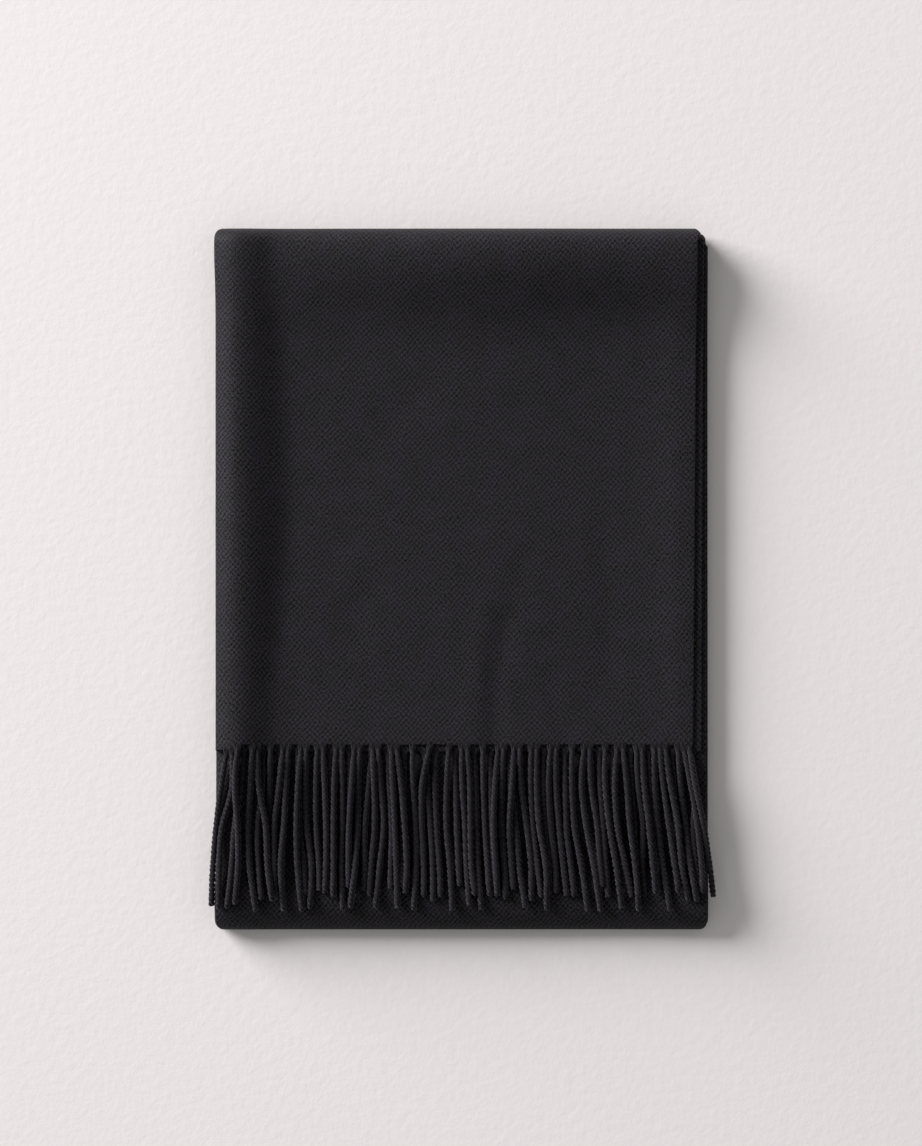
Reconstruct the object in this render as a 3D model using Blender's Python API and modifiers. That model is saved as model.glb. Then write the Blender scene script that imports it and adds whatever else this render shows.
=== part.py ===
"""A wide wool scarf with a twisted fringe, folded flat.

The cloth is folded once along its length, so each stretch is two plies joined by a fold on
the left, and then rolled into a packet of four stretches by three cross folds. From the
inside out these are the hidden stretch, the lower stretch with the underside, and the top
stretch, whose fringed end shows.

Sizes are in millimetres and MM turns them to metres. X runs to the right, Y to the far edge
and Z up, with the origin under the middle of the packet, on the surface that it lies on.
"""
import math
from collections import namedtuple

import bpy

MM = 0.001

# The cloth
PLY = 1.7                       # wall of one ply with its nap
GAP = 0.35                      # air between plies, and between pieces at a seam
PITCH = PLY + GAP
HALF_PAIR = PITCH / 2           # from the middle of a pair of plies to either ply

# Heights of the middle of each pair of plies
UNDER_Z = PLY + GAP / 2
HIDDEN_Z = UNDER_Z + 2 * PITCH
LOWER_Z = HIDDEN_Z + 2 * PITCH
TOP_Z = LOWER_Z + 2 * PITCH
FLOOR_PLY_Z = UNDER_Z - HALF_PAIR
TOP_PLY_Z = TOP_Z + HALF_PAIR

# The packet's outline
LEFT = -176.0
FAR = 250.2
NEAR = -250.2
EDGE_SWELL = 0.9                # the left edge bulges beside both cross folds
EDGE_SWELL_AT = 236.0
EDGE_SWELL_REACH = 24.0
CORNER_RADIUS = 4.2             # in plan, where the cloth goes round a cross fold

# Cross folds: how far each runs out beyond a round one, and the slack of its inner ply
FAR_FOLD_REACH = 3.0
FAR_FOLD_SLACK = 2.0
NEAR_FOLD_REACH = 7.0
INNER_FOLD_FAR = 240.7
SEAM_RUN = 1.0                  # the outer far fold starts with a short flat stretch
FOLD_STEPS = 8

# Soft relief of the top, which fades with depth to nothing at the floor
LEFT_ROLL = 10.2                # the stacked lengthwise folds stand up along the left
LEFT_ROLL_CREST = 16.0
LEFT_ROLL_WIDTH = 40.0
LEFT_ROLL_EDGE = 0.2            # share of its height that is left at the very edge
LEFT_ROLL_LOST = 0.28           # it is lower and narrower at the hem
LEFT_ROLL_WIDTH_LOST = 10.0
LEFT_ROLL_FULL_TO = 60.0
FAR_ROLL = 15.0                 # the far fold is the fullest
FAR_ROLL_CREST = 18.0
FAR_ROLL_WIDTH = 84.0
FAR_ROLL_TAIL = 1.8             # it falls off fast at first and then slowly
FAR_ROLL_EDGE = 0.72
FAR_ROLL_CENTRE = 55.0          # it is fullest right of the middle
FAR_ROLL_SPREAD = 230.0
NEAR_ROLL = 11.0                # the near fold rounds off under the tips of the fringe
NEAR_ROLL_CREST = 24.0
NEAR_ROLL_WIDTH = 32.0
NEAR_ROLL_EDGE = 0.0
BOTH_ROLLS = 0.35               # share of the lesser roll that adds to the greater one
DISH = 1.8                      # a shallow dish towards the selvedges
DISH_CENTRE = 115.0
DISH_LEFT = 120.0
DISH_RIGHT = 55.0

# Hems of the fringed end, and how the upper one dips at the left fold
UPPER_HEM = -118.2
LOWER_HEM = -123.2
HEM_DIP = 3.4
HEM_DIP_FROM = -158.0
HEM_DIP_TO = -167.0

# Selvedges on the right, outer and inner ply, at the turning points of the cloth
Selvedge = namedtuple("Selvedge", "outer inner")
SEAM_EDGE = Selvedge(outer=174.6, inner=173.8)
INNER_FOLD_EDGE = Selvedge(outer=173.8, inner=174.9)
NEAR_FOLD_EDGE = Selvedge(outer=174.2, inner=175.2)
UNDER_EDGE = Selvedge(outer=172.4, inner=174.0)
FAR_FOLD_EDGE = Selvedge(outer=167.2, inner=171.8)
HEM_EDGE = Selvedge(outer=164.6, inner=170.4)

# Stations across a ply, from right to left, closer where the left roll bends it
ACROSS = (158, 138, 112, 60, 0, -60, -112, -120, -128, -136, -144, -152, -160, -168)
SIDE_FOLD_RADIUS = 1.5
SIDE_FOLD_STEPS = 5

# Stations along the straight runs
LOWER_RUN = (236.8, 226, 214, 202, 190, 178, 166, 150, 60, -60, -130, -194, -204, -214, -224, -232)
UNDER_RUN = (-232, -224, -214, -204, -194, 0, 150, 166, 178, 190, 202, 214, 226)
TOP_RUN = (239.2, 232, 226, 214, 202, 190, 178, 166, 150, 60, 0, -70)
HIDDEN_RUN = (236.4, 226, 214, 202, 190, 178, 166, 150, 60, -60, -130, -194, -204, -214, -224, -232)
HIDDEN_END = -238.5
HIDDEN_END_THICKNESS = 0.5      # the hidden layers thin to this share at their near end
SELVEDGE_GROOVE = 1.1
SELVEDGE_LIP = 0.35

# The fringe
STRIP_DEPTH = 2.6
STRIP_MARGIN = 2.0              # how far past the lower strip the upper cords stay above it
CORD_DIAMETER = 4.4
CORD_HALF = 1.85                # half the diagonal of a cord's square
NECK_HALF = 0.8
CORD_PACKING = 3.9              # plan distance at which two cords just touch
CORD_RISE = 4.0                 # how far a cord rises where it crosses another
NECK_LENGTH = 9.0
CORD_STEP = 14.0
QUARTERS = (28.0, 57.0, 86.0)   # how far below the hem a cord's three drifts are taken
EDGE_DROOP_FROM = 176.0         # past the packet's edge a cord droops, this much for each mm
EDGE_DROOP = 1.4
REST_SAMPLES = 8                # places along two spans where a cord looks for others under it

# One row for each cord: where its root is on the hem, how far it has drifted to the right
# at each quarter and at its tip, how far it reaches below its hem, and the order of laying
Cord = namedtuple("Cord", "root first second third tip reach lay")
UPPER_CORDS = (
    Cord(-167.6, -4.5, -8.2, -10.4, -11.1, 111, 1),
    Cord(-163.8, -0.2, -7.6, -9.4, -9.7, 114, 0),
    Cord(-160.0, -1.8, 0.0, 0.4, -2.1, 113, 0),
    Cord(-149.5, -1.2, -3.0, -1.9, 2.7, 118, 0),
    Cord(-145.8, 0.8, 5.8, 7.2, 10.8, 110, 1),
    Cord(-136.8, -0.3, -1.2, 0.4, 0.4, 102, 0),
    Cord(-127.8, -2.6, -6.1, -6.0, -6.0, 107, 0),
    Cord(-124.0, -1.7, -3.1, -5.3, -3.1, 118, 1),
    Cord(-115.0, -2.1, -3.2, -2.5, 1.1, 118, 1),
    Cord(-111.3, -0.5, 0.2, 3.8, 2.7, 116, 1),
    Cord(-103.4, -0.9, -0.7, 1.3, 1.6, 103, 0),
    Cord(-99.3, 1.1, 2.2, 2.2, 1.4, 105, 0),
    Cord(-90.0, -1.4, -1.8, -1.8, -1.8, 108, 0),
    Cord(-86.0, 0.6, 0.7, 0.0, 1.0, 117, 0),
    Cord(-77.0, -1.9, -3.7, -4.1, -3.7, 101, 0),
    Cord(-73.2, -1.1, -1.4, -3.2, -6.8, 116, 0),
    Cord(-64.2, 1.3, 1.7, -0.8, -1.9, 107, 1),
    Cord(-60.3, 2.1, 4.2, 1.4, -1.5, 116, 0),
    Cord(-51.0, 1.4, 2.8, 3.9, 4.9, 116, 1),
    Cord(-47.0, 3.4, 5.9, 7.4, 6.3, 105, 0),
    Cord(-35.7, 0.7, 2.5, 2.8, 1.1, 117, 0),
    Cord(-23.2, -5.4, -5.7, -4.3, -4.3, 108, 1),
    Cord(-9.6, -1.5, -1.8, 0.7, 2.5, 117, 0),
    Cord(-0.6, 0.6, 2.4, 3.5, 5.6, 114, 0),
    Cord(3.3, 2.1, 2.4, 3.1, 5.6, 107, 0),
    Cord(14.6, 0.4, 1.5, 3.3, 5.0, 107, 0),
    Cord(25.6, -2.4, -3.5, -2.0, -0.6, 107, 0),
    Cord(29.4, -1.2, -1.5, 0.6, 1.3, 109, 0),
    Cord(36.9, -1.5, -3.3, -1.9, -0.5, 103, 1),
    Cord(40.8, 1.0, 4.9, 8.1, 8.1, 111, 0),
    Cord(49.0, -0.1, 1.4, 4.6, 7.1, 108, 0),
    Cord(53.0, -0.1, 1.6, 6.3, 7.0, 117, 1),
    Cord(62.8, -1.4, 0.1, 3.3, 4.0, 105, 0),
    Cord(66.8, 0.0, 2.1, 5.0, 7.5, 107, 0),
    Cord(78.2, 0.0, 1.4, 6.4, 11.1, 118, 1),
    Cord(86.8, -1.8, 1.4, 6.8, 11.8, 118, 1),
    Cord(90.8, 1.0, 5.3, 7.4, 8.8, 100, 0),
    Cord(101.8, 0.0, 2.8, 7.5, 11.8, 116, 1),
    Cord(110.4, -1.8, 0.0, 5.7, 10.3, 108, 0),
    Cord(114.3, 2.8, 5.0, 8.6, 10.7, 108, 1),
    Cord(123.9, 1.5, 5.0, 4.3, 5.0, 107, 0),
    Cord(128.0, 1.6, 4.9, 7.7, 9.9, 105, 0),
    Cord(136.6, 0.5, 2.7, 6.3, 11.3, 118, 1),
    Cord(140.5, 2.7, 6.6, 10.6, 13.4, 105, 0),
    Cord(144.4, 3.8, 9.2, 11.7, 16.3, 110, 0),
    Cord(153.4, 2.3, 5.5, 9.1, 13.4, 111, 0),
    Cord(157.4, 5.4, 10.0, 12.9, 13.7, 105, 0),
    Cord(161.3, 4.6, 10.5, 14.8, 17.3, 108, 1),
)
LOWER_CORDS = (
    Cord(-156.8, -2.1, -5.7, -7.8, -10.7, 111, 0),
    Cord(-142.5, -0.7, -3.4, -2.1, -0.4, 105, 0),
    Cord(-129.6, 0.6, 1.2, 1.0, 1.4, 96, 0),
    Cord(-117.6, 0.8, 1.5, 4.7, 5.8, 101, 0),
    Cord(-94.6, -0.4, 0.4, 0.2, 0.6, 98, 0),
    Cord(-81.0, 0.5, -0.4, 1.2, 1.4, 95, 0),
    Cord(-64.6, -2.5, -5.0, -5.0, -5.4, 98, 0),
    Cord(-53.2, 1.4, 2.8, 2.1, 2.1, 97, 0),
    Cord(-41.6, -0.4, -1.2, -1.6, -1.4, 96, 0),
    Cord(-26.8, 1.8, 4.3, 5.7, 5.7, 106, 0),
    Cord(-18.9, -0.4, 0.7, 2.8, 3.2, 103, 0),
    Cord(-5.4, 0.8, 1.5, 2.9, 3.6, 95, 0),
    Cord(8.2, 1.4, 1.8, 3.2, 5.4, 112, 0),
    Cord(20.0, 0.4, 1.0, 2.2, 2.6, 96, 0),
    Cord(33.4, 1.2, 5.1, 7.6, 11.6, 110, 0),
    Cord(57.8, -0.3, 0.8, 3.4, 4.2, 97, 0),
    Cord(73.2, 0.4, 1.1, 4.7, 6.4, 103, 0),
    Cord(97.5, 1.1, 3.2, 5.0, 6.1, 103, 0),
    Cord(107.0, 0.2, 2.2, 5.2, 8.0, 97, 0),
    Cord(119.6, 0.8, 2.5, 4.3, 5.8, 113, 0),
    Cord(132.8, 0.8, 2.4, 4.6, 6.4, 96, 0),
    Cord(149.4, 1.2, 3.2, 4.8, 6.0, 97, 0),
    Cord(163.2, 2.9, 1.4, 3.6, 4.7, 97, 0),
)

# Charcoal wool, and its cords a shade lighter
CLOTH_COLOUR = (0.021, 0.019, 0.023, 1.0)
HIDDEN_COLOUR = (0.013, 0.012, 0.015, 1.0)
CORD_COLOUR = (0.026, 0.025, 0.029, 1.0)
WOOL_ROUGHNESS = 0.85
SHARP_ANGLE = 50                # degrees between faces that still shade smooth


def mix(a, b, share):
    return a + (b - a) * share


def clamp(value, low=0.0, high=1.0):
    return max(low, min(high, value))


def ease(value):
    """Smooth step from 0 to 1."""
    value = clamp(value)
    return value * value * (3 - 2 * value)


def roll(distance, crest, width, edge, tail=1.0):
    """Height of a soft roll: `edge` at distance 0, 1 at its crest and 0 past its width."""
    if distance < crest:
        return 1 - (1 - edge) * ((crest - distance) / crest) ** 2
    fall = 0.5 + 0.5 * math.cos(math.pi * clamp((distance - crest) / width))
    return fall ** tail


def lift(x, y):
    """How far the top of the packet stands above its flat height."""
    lost = ease((LEFT_ROLL_FULL_TO - y) / (LEFT_ROLL_FULL_TO - UPPER_HEM))
    width = LEFT_ROLL_WIDTH - LEFT_ROLL_WIDTH_LOST * lost
    left = LEFT_ROLL * (1 - LEFT_ROLL_LOST * lost)
    left *= roll(max(0.0, x - LEFT), LEFT_ROLL_CREST, width, LEFT_ROLL_EDGE)
    far = FAR_ROLL * math.exp(-((x - FAR_ROLL_CENTRE) / FAR_ROLL_SPREAD) ** 2)
    far *= roll(max(0.0, FAR - y), FAR_ROLL_CREST, FAR_ROLL_WIDTH, FAR_ROLL_EDGE, FAR_ROLL_TAIL)
    near = NEAR_ROLL * roll(max(0.0, y - NEAR), NEAR_ROLL_CREST, NEAR_ROLL_WIDTH, NEAR_ROLL_EDGE)
    cross = max(far, near)
    dish_reach = DISH_RIGHT if x > DISH_CENTRE else DISH_LEFT
    across = clamp(abs(x - DISH_CENTRE) / dish_reach)
    dish = DISH * (0.5 - 0.5 * math.cos(math.pi * across))
    return max(left, cross) + BOTH_ROLLS * min(left, cross) + dish


def lifted(x, y, z):
    """Height of a point after the relief, which fades with depth to the ply on the floor."""
    depth_share = max(0.0, z - FLOOR_PLY_Z) / (TOP_PLY_Z - FLOOR_PLY_Z)
    return z + lift(x, y) * depth_share


def left_edge(y):
    swell = math.exp(-((abs(y) - EDGE_SWELL_AT) / EDGE_SWELL_REACH) ** 2)
    return LEFT + PLY / 2 - EDGE_SWELL * swell


def upper_hem(x):
    return UPPER_HEM - HEM_DIP * ease((HEM_DIP_FROM - x) / (HEM_DIP_FROM - HEM_DIP_TO))


# A row of the cloth's course: a point on the middle of the two plies, the way out from the
# packet's inside, how far the inner ply lags behind, where the selvedges are, and the middle
# and the reach of the cross fold that it lies in
Row = namedtuple("Row", "y z out_y out_z slack edge fold_y fold_reach")


def between(first, last, share):
    return Selvedge(mix(first.outer, last.outer, share), mix(first.inner, last.inner, share))


def run(ys, z, out_z, first_edge, last_edge):
    """Rows of a straight run of cloth at height z."""
    rows = []
    for y in ys:
        share = (y - ys[0]) / (ys[-1] - ys[0])
        rows.append(Row(y, z, 0.0, out_z, 0.0, between(first_edge, last_edge, share), y, 0.0))
    return rows


def cross_fold(centre_y, centre_z, radius, reach, start, slack, first_edge, last_edge):
    """Rows round a cross fold, half a turn anticlockwise from the angle `start`."""
    rows = []
    long_axis = radius + reach
    for step in range(FOLD_STEPS + 1):
        share = step / FOLD_STEPS
        angle = math.radians(start + 180 * share)
        across, up = math.cos(angle), math.sin(angle)
        way_y, way_z = across / long_axis, up / radius
        length = math.hypot(way_y, way_z)
        rows.append(Row(centre_y + long_axis * across, centre_z + radius * up,
                        way_y / length, way_z / length, slack * across * across,
                        between(first_edge, last_edge, share), centre_y, long_axis))
    return rows


def corner_inset(row, offset):
    """How far a ply's two corners draw in where it goes round a cross fold."""
    beyond = abs(row.y + row.out_y * offset - row.fold_y)
    beyond = clamp(beyond - (row.fold_reach + offset - CORNER_RADIUS), 0.0, CORNER_RADIUS)
    return CORNER_RADIUS - math.sqrt(CORNER_RADIUS ** 2 - beyond ** 2) if row.fold_reach else 0.0


def section(row, hem_share=0.0):
    """Points across both plies, from the outer selvedge round the side fold to the inner one.

    `hem_share` is 1 on the hem row, where the two plies end at their own hems.
    """
    points = []
    inner_offset = -HALF_PAIR - row.slack

    def add(x, offset, inner_share):
        hem = mix(upper_hem(x), LOWER_HEM, inner_share)
        y = mix(row.y, hem, hem_share) + row.out_y * offset
        z = row.z + row.out_z * offset
        points.append((x * MM, y * MM, lifted(x, y, z) * MM))

    outer_inset, inner_inset = corner_inset(row, HALF_PAIR), corner_inset(row, inner_offset)
    for x in (row.edge.outer - outer_inset,) + ACROSS:
        add(x, HALF_PAIR, 0.0)
    for step in range(SIDE_FOLD_STEPS + 1):
        angle = math.pi * step / SIDE_FOLD_STEPS
        inner_share = 0.5 - 0.5 * math.cos(angle)
        turn_x = left_edge(row.y) + SIDE_FOLD_RADIUS + mix(outer_inset, inner_inset, inner_share)
        add(turn_x - SIDE_FOLD_RADIUS * math.sin(angle),
            mix(HALF_PAIR, inner_offset, inner_share), inner_share)
    for x in reversed((row.edge.inner - inner_inset,) + ACROSS):
        add(x, inner_offset, 1.0)
    return points


def mesh_object(name, points, faces, collection):
    mesh = bpy.data.meshes.new(name)
    mesh.from_pydata(points, [], faces)
    mesh.validate()
    obj = bpy.data.objects.new(name, mesh)
    collection.objects.link(obj)
    return obj


def grid_faces(rows, columns):
    """Faces of a grid of points that is stored row after row."""
    faces = []
    for row in range(rows - 1):
        for column in range(columns - 1):
            corner = row * columns + column
            faces.append((corner, corner + 1, corner + columns + 1, corner + columns))
    return faces


def give_wall(obj):
    """One ply's wall, half of it on each side of the sheet."""
    wall = obj.modifiers.new("Ply", "SOLIDIFY")
    wall.thickness = PLY * MM
    wall.offset = 0.0
    wall.use_even_offset = True
    wall.use_rim = True


def finish(obj, colour):
    """Smooth shading and the piece's own wool."""
    obj.data.shade_smooth()
    obj.data.set_sharp_from_angle(angle=math.radians(SHARP_ANGLE))
    wool = bpy.data.materials.new(obj.name + "_wool")
    wool.use_nodes = True
    shader = wool.node_tree.nodes["Principled BSDF"]
    shader.inputs["Base Color"].default_value = colour
    shader.inputs["Roughness"].default_value = WOOL_ROUGHNESS
    shader.inputs["Metallic"].default_value = 0.0
    wool.diffuse_color = colour
    obj.data.materials.append(wool)


def sheet(name, sections, collection):
    """A folded sheet through its sections, given one ply's wall."""
    points = [point for one in sections for point in one]
    obj = mesh_object(name, points, grid_faces(len(sections), len(sections[0])), collection)
    give_wall(obj)
    return obj


def lower_stretch(collection):
    """The inner far fold, the stretch under the top one, the near fold and the underside."""
    inner_radius = PITCH
    inner_centre = INNER_FOLD_FAR - inner_radius - HALF_PAIR - PLY / 2
    near_radius = 2 * PITCH
    near_centre = NEAR + near_radius + NEAR_FOLD_REACH + HALF_PAIR + PLY / 2
    rows = cross_fold(inner_centre, (HIDDEN_Z + LOWER_Z) / 2, inner_radius, 0.0, -90, 0.0,
                      SEAM_EDGE, INNER_FOLD_EDGE)
    rows += run(LOWER_RUN, LOWER_Z, 1.0, INNER_FOLD_EDGE, NEAR_FOLD_EDGE)[1:]
    rows += cross_fold(near_centre, HIDDEN_Z, near_radius, NEAR_FOLD_REACH, 90, 0.0,
                       NEAR_FOLD_EDGE, NEAR_FOLD_EDGE)
    seam = far_fold_centre() - GAP
    rows += run((near_centre,) + UNDER_RUN + (seam,), UNDER_Z, -1.0,
                NEAR_FOLD_EDGE, UNDER_EDGE)[1:]
    obj = sheet("lower_stretch", [section(row) for row in rows], collection)
    finish(obj, CLOTH_COLOUR)
    return obj


def far_fold_centre():
    return FAR - 3 * PITCH - FAR_FOLD_REACH - HALF_PAIR - PLY / 2


def top_stretch(collection):
    """The outer far fold and the stretch that lies on top, down to its two hems."""
    seam_y = far_fold_centre()
    rows = run((seam_y, seam_y + SEAM_RUN), UNDER_Z, -1.0, UNDER_EDGE, UNDER_EDGE)[:1]
    rows += cross_fold(seam_y + SEAM_RUN, (UNDER_Z + TOP_Z) / 2, 3 * PITCH,
                       FAR_FOLD_REACH - SEAM_RUN, -90, FAR_FOLD_SLACK, UNDER_EDGE, FAR_FOLD_EDGE)
    rows += run(TOP_RUN + (UPPER_HEM,), TOP_Z, 1.0, FAR_FOLD_EDGE, HEM_EDGE)[1:]
    sections = [section(row) for row in rows[:-1]]
    sections.append(section(rows[-1], hem_share=1.0))
    obj = sheet("top_stretch", sections, collection)
    finish(obj, CLOTH_COLOUR)
    return obj


def hidden_ring(y, thickness_share):
    """One closed ring round the hidden layers, grooved between their two selvedges."""
    half = (HALF_PAIR + PLY / 2) * thickness_share
    lip = SELVEDGE_LIP
    right = SEAM_EDGE.inner
    xs = tuple(reversed(ACROSS))
    ring = [(x, -half) for x in xs]
    ring += [(right - lip, -half), (right, -half + lip), (right, -lip), (right - SELVEDGE_GROOVE, 0.0),
             (right, lip), (right, half - lip), (right - lip, half)]
    ring += [(x, half) for x in reversed(xs)]
    turn_x = left_edge(y) + SIDE_FOLD_RADIUS
    for step in range(SIDE_FOLD_STEPS + 1):
        angle = math.pi * step / SIDE_FOLD_STEPS
        ring.append((turn_x - SIDE_FOLD_RADIUS * math.sin(angle), half * math.cos(angle)))
    return [(x * MM, y * MM, lifted(x, y, HIDDEN_Z + z) * MM) for x, z in ring]


def hidden_layers(collection):
    """The innermost stretch: both its plies as one rounded solid."""
    rings = [hidden_ring(y, 1.0) for y in HIDDEN_RUN]
    rings.append(hidden_ring(HIDDEN_END, HIDDEN_END_THICKNESS))
    size = len(rings[0])
    points = [point for ring in rings for point in ring]
    faces = []
    for row in range(len(rings) - 1):
        for column in range(size):
            here = row * size + column
            beside = row * size + (column + 1) % size
            faces.append((here, beside, beside + size, here + size))
    last = (len(rings) - 1) * size
    faces.append(tuple(reversed(range(size))))
    faces.append(tuple(last + column for column in range(size)))
    obj = mesh_object("hidden_layers", points, faces, collection)
    finish(obj, HIDDEN_COLOUR)
    return obj


def drift(cord, distance):
    """The cord's place across the scarf at a distance below its hem."""
    knots = [(0.0, 0.0), (QUARTERS[0], cord.first), (QUARTERS[1], cord.second),
             (QUARTERS[2], cord.third), (float(cord.reach), cord.tip)]
    slopes = []
    for index in range(len(knots)):
        before = knots[max(0, index - 1)]
        after = knots[min(len(knots) - 1, index + 1)]
        slopes.append((after[1] - before[1]) / (after[0] - before[0]))
    for index in range(len(knots) - 1):
        (start, low), (end, high) = knots[index], knots[index + 1]
        if distance <= end or index == len(knots) - 2:
            length = end - start
            t = clamp((distance - start) / length)
            return cord.root + (low * (1 + 2 * t) * (1 - t) ** 2 + high * t * t * (3 - 2 * t)
                                + slopes[index] * length * t * (1 - t) ** 2
                                + slopes[index + 1] * length * t * t * (t - 1))


def bed(x, y):
    """Height of the cloth that a cord lies on, and of the air that it droops into past an edge."""
    over_lower_ply = y > LOWER_HEM - GAP - STRIP_DEPTH - STRIP_MARGIN
    flat = TOP_Z - HALF_PAIR + PLY / 2 if over_lower_ply else LOWER_Z + HALF_PAIR + PLY / 2
    return lifted(x, y, flat) - EDGE_DROOP * max(0.0, abs(x) - EDGE_DROOP_FROM)


def cord_ys(hem, reach):
    """Where a cord has its corners: its root, then on lines that all cords share, then its tip."""
    root = hem - GAP - STRIP_DEPTH / 2
    tip = hem - reach
    ys = [root]
    y = UPPER_HEM - NECK_LENGTH
    while y > tip + CORD_STEP / 3:
        if y < root - NECK_LENGTH / 2:
            ys.append(y)
        y -= CORD_STEP
    return ys + [tip]


def on_line(points, y, axis):
    """Value of a chain of points at y, or None where the chain doesn't reach."""
    for first, last in zip(points, points[1:]):
        if last[1] <= y <= first[1]:
            return mix(first[axis], last[axis], (y - first[1]) / (last[1] - first[1]))
    return None


def lay_cords():
    """Lay all cords one after another, each resting on the cloth or on the cords under it."""
    order = [(cord, LOWER_HEM, False) for cord in LOWER_CORDS]
    order += sorted(((cord, None, True) for cord in UPPER_CORDS), key=lambda entry: entry[0].lay)
    laid = []
    for cord, hem, upper in order:
        hem = upper_hem(cord.root) if upper else hem
        ply_z = TOP_PLY_Z if upper else TOP_Z - HALF_PAIR
        ys = cord_ys(hem, cord.reach)
        xs = [drift(cord, hem - y) for y in ys]
        chain = [[x, y, bed(x, y) + GAP + CORD_DIAMETER / 2] for x, y in zip(xs, ys)]
        chain[0][2] = lifted(xs[0], ys[0], ply_z)
        flat = [tuple(point) for point in chain]
        for index in range(1, len(chain)):
            above = flat[index - 1][1]
            below = flat[min(index + 1, len(flat) - 1)][1]
            for step in range(REST_SAMPLES + 1):
                y = mix(above, below, step / REST_SAMPLES)
                x = on_line(flat, y, 0)
                for other, _ in laid:
                    other_x = on_line(other, y, 0)
                    if other_x is None or abs(x - other_x) >= CORD_PACKING:
                        continue
                    rise = math.sqrt(1 - ((x - other_x) / CORD_PACKING) ** 2)
                    need = on_line(other, y, 2) + CORD_RISE * rise
                    chain[index][2] = max(chain[index][2], need)
        laid.append(([tuple(point) for point in chain], upper))
    return laid


def cord_mesh(chains, name, collection):
    """Square cords with an edge on top, each closed by itself."""
    points, faces = [], []
    for chain in chains:
        first = len(points)
        for index, (x, y, z) in enumerate(chain):
            half = NECK_HALF if index == 0 else CORD_HALF
            for side_x, side_z in ((half, 0), (0, half), (-half, 0), (0, -half)):
                points.append(((x + side_x) * MM, y * MM, (z + side_z) * MM))
        for index in range(len(chain) - 1):
            ring = first + 4 * index
            for side in range(4):
                after = (side + 1) % 4
                faces.append((ring + side, ring + side + 4, ring + after + 4, ring + after))
        last = first + 4 * (len(chain) - 1)
        faces.append((first, first + 1, first + 2, first + 3))
        faces.append((last + 3, last + 2, last + 1, last))
    return mesh_object(name, points, faces, collection)


def fringe(name, hem, ply_z, right, chains, collection, cutters):
    """A strip parted from the hem, with the roots of its cords fused into it."""
    xs = (right,) + ACROSS + (LEFT + PLY / 2 + 2 * SIDE_FOLD_RADIUS,)
    rows = []
    for back in (GAP, GAP + STRIP_DEPTH):
        row = []
        for x in xs:
            y = hem(x) - back
            row.append((x * MM, y * MM, lifted(x, y, ply_z) * MM))
        rows.append(row)
    strip = sheet(name, rows, collection)
    cords = cord_mesh(chains, name + "_cords", cutters)
    cords.hide_render = True
    cords.display_type = "WIRE"
    join = strip.modifiers.new("Roots", "BOOLEAN")
    join.operation = "UNION"
    join.solver = "EXACT"
    join.object = cords
    finish(strip, CORD_COLOUR)
    return strip


def main():
    for obj in list(bpy.data.objects):
        bpy.data.objects.remove(obj)
    scarf = bpy.data.collections.new("winter_scarf")
    cutters = bpy.data.collections.new("joined_shapes")
    bpy.context.scene.collection.children.link(scarf)
    bpy.context.scene.collection.children.link(cutters)

    hidden_layers(scarf)
    lower_stretch(scarf)
    top_stretch(scarf)
    laid = lay_cords()
    fringe("fringe_lower", lambda x: LOWER_HEM, TOP_Z - HALF_PAIR, HEM_EDGE.inner,
           [chain for chain, upper in laid if not upper], scarf, cutters)
    fringe("fringe_upper", upper_hem, TOP_PLY_Z, HEM_EDGE.outer,
           [chain for chain, upper in laid if upper], scarf, cutters)


main()
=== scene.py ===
"""The looks of a wide wool scarf with a twisted fringe, folded flat.

The cloth is folded once along its length, so each stretch is two plies joined by a fold on
the left, and then rolled into a packet of four stretches. Each stretch is a thin shell on its
solid's form, with the soft relief, creases and uneven edges of the cloth, and a map of the
cloth in its own millimetres, so that the twill follows every fold. The fringes are two-ply
cords, laid one after another on the cloth and on the cords under them.

Sizes are in millimetres and MM turns them to metres. X runs to the right, Y to the far edge
and Z up, with the origin under the middle of the packet.
"""

import math
from collections import namedtuple
from functools import partial

import bpy
import numpy as np
from bpy.props import FloatProperty, FloatVectorProperty, IntProperty, PointerProperty
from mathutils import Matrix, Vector, noise


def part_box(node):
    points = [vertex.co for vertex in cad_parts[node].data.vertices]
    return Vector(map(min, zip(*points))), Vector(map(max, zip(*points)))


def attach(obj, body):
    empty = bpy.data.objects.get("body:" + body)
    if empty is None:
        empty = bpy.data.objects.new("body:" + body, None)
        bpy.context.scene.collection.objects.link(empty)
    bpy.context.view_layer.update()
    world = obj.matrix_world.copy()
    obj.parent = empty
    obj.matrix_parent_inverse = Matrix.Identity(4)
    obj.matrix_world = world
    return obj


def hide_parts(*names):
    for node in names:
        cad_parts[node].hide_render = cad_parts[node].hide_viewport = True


bl_info = {
    "name": "Folded wool scarf",
    "version": (1, 0, 0),
    "blender": (4, 5, 0),
    "location": "3D View > Sidebar > Scarf",
    "description": "Makes a folded wool scarf with a twisted fringe around its packed solids",
    "category": "Add Mesh",
}

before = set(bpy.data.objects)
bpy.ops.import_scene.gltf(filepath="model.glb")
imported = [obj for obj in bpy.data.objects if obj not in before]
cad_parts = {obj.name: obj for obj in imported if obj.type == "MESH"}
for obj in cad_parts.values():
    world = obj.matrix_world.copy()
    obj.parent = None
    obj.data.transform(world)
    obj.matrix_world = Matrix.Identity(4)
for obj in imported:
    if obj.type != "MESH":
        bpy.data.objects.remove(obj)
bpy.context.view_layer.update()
MM = 0.001
BODY = "root"

# The packet's outline, from the solids
LEFT = -176.0
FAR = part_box("top_stretch")[1].y / MM
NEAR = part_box("lower_stretch")[0].y / MM

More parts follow.
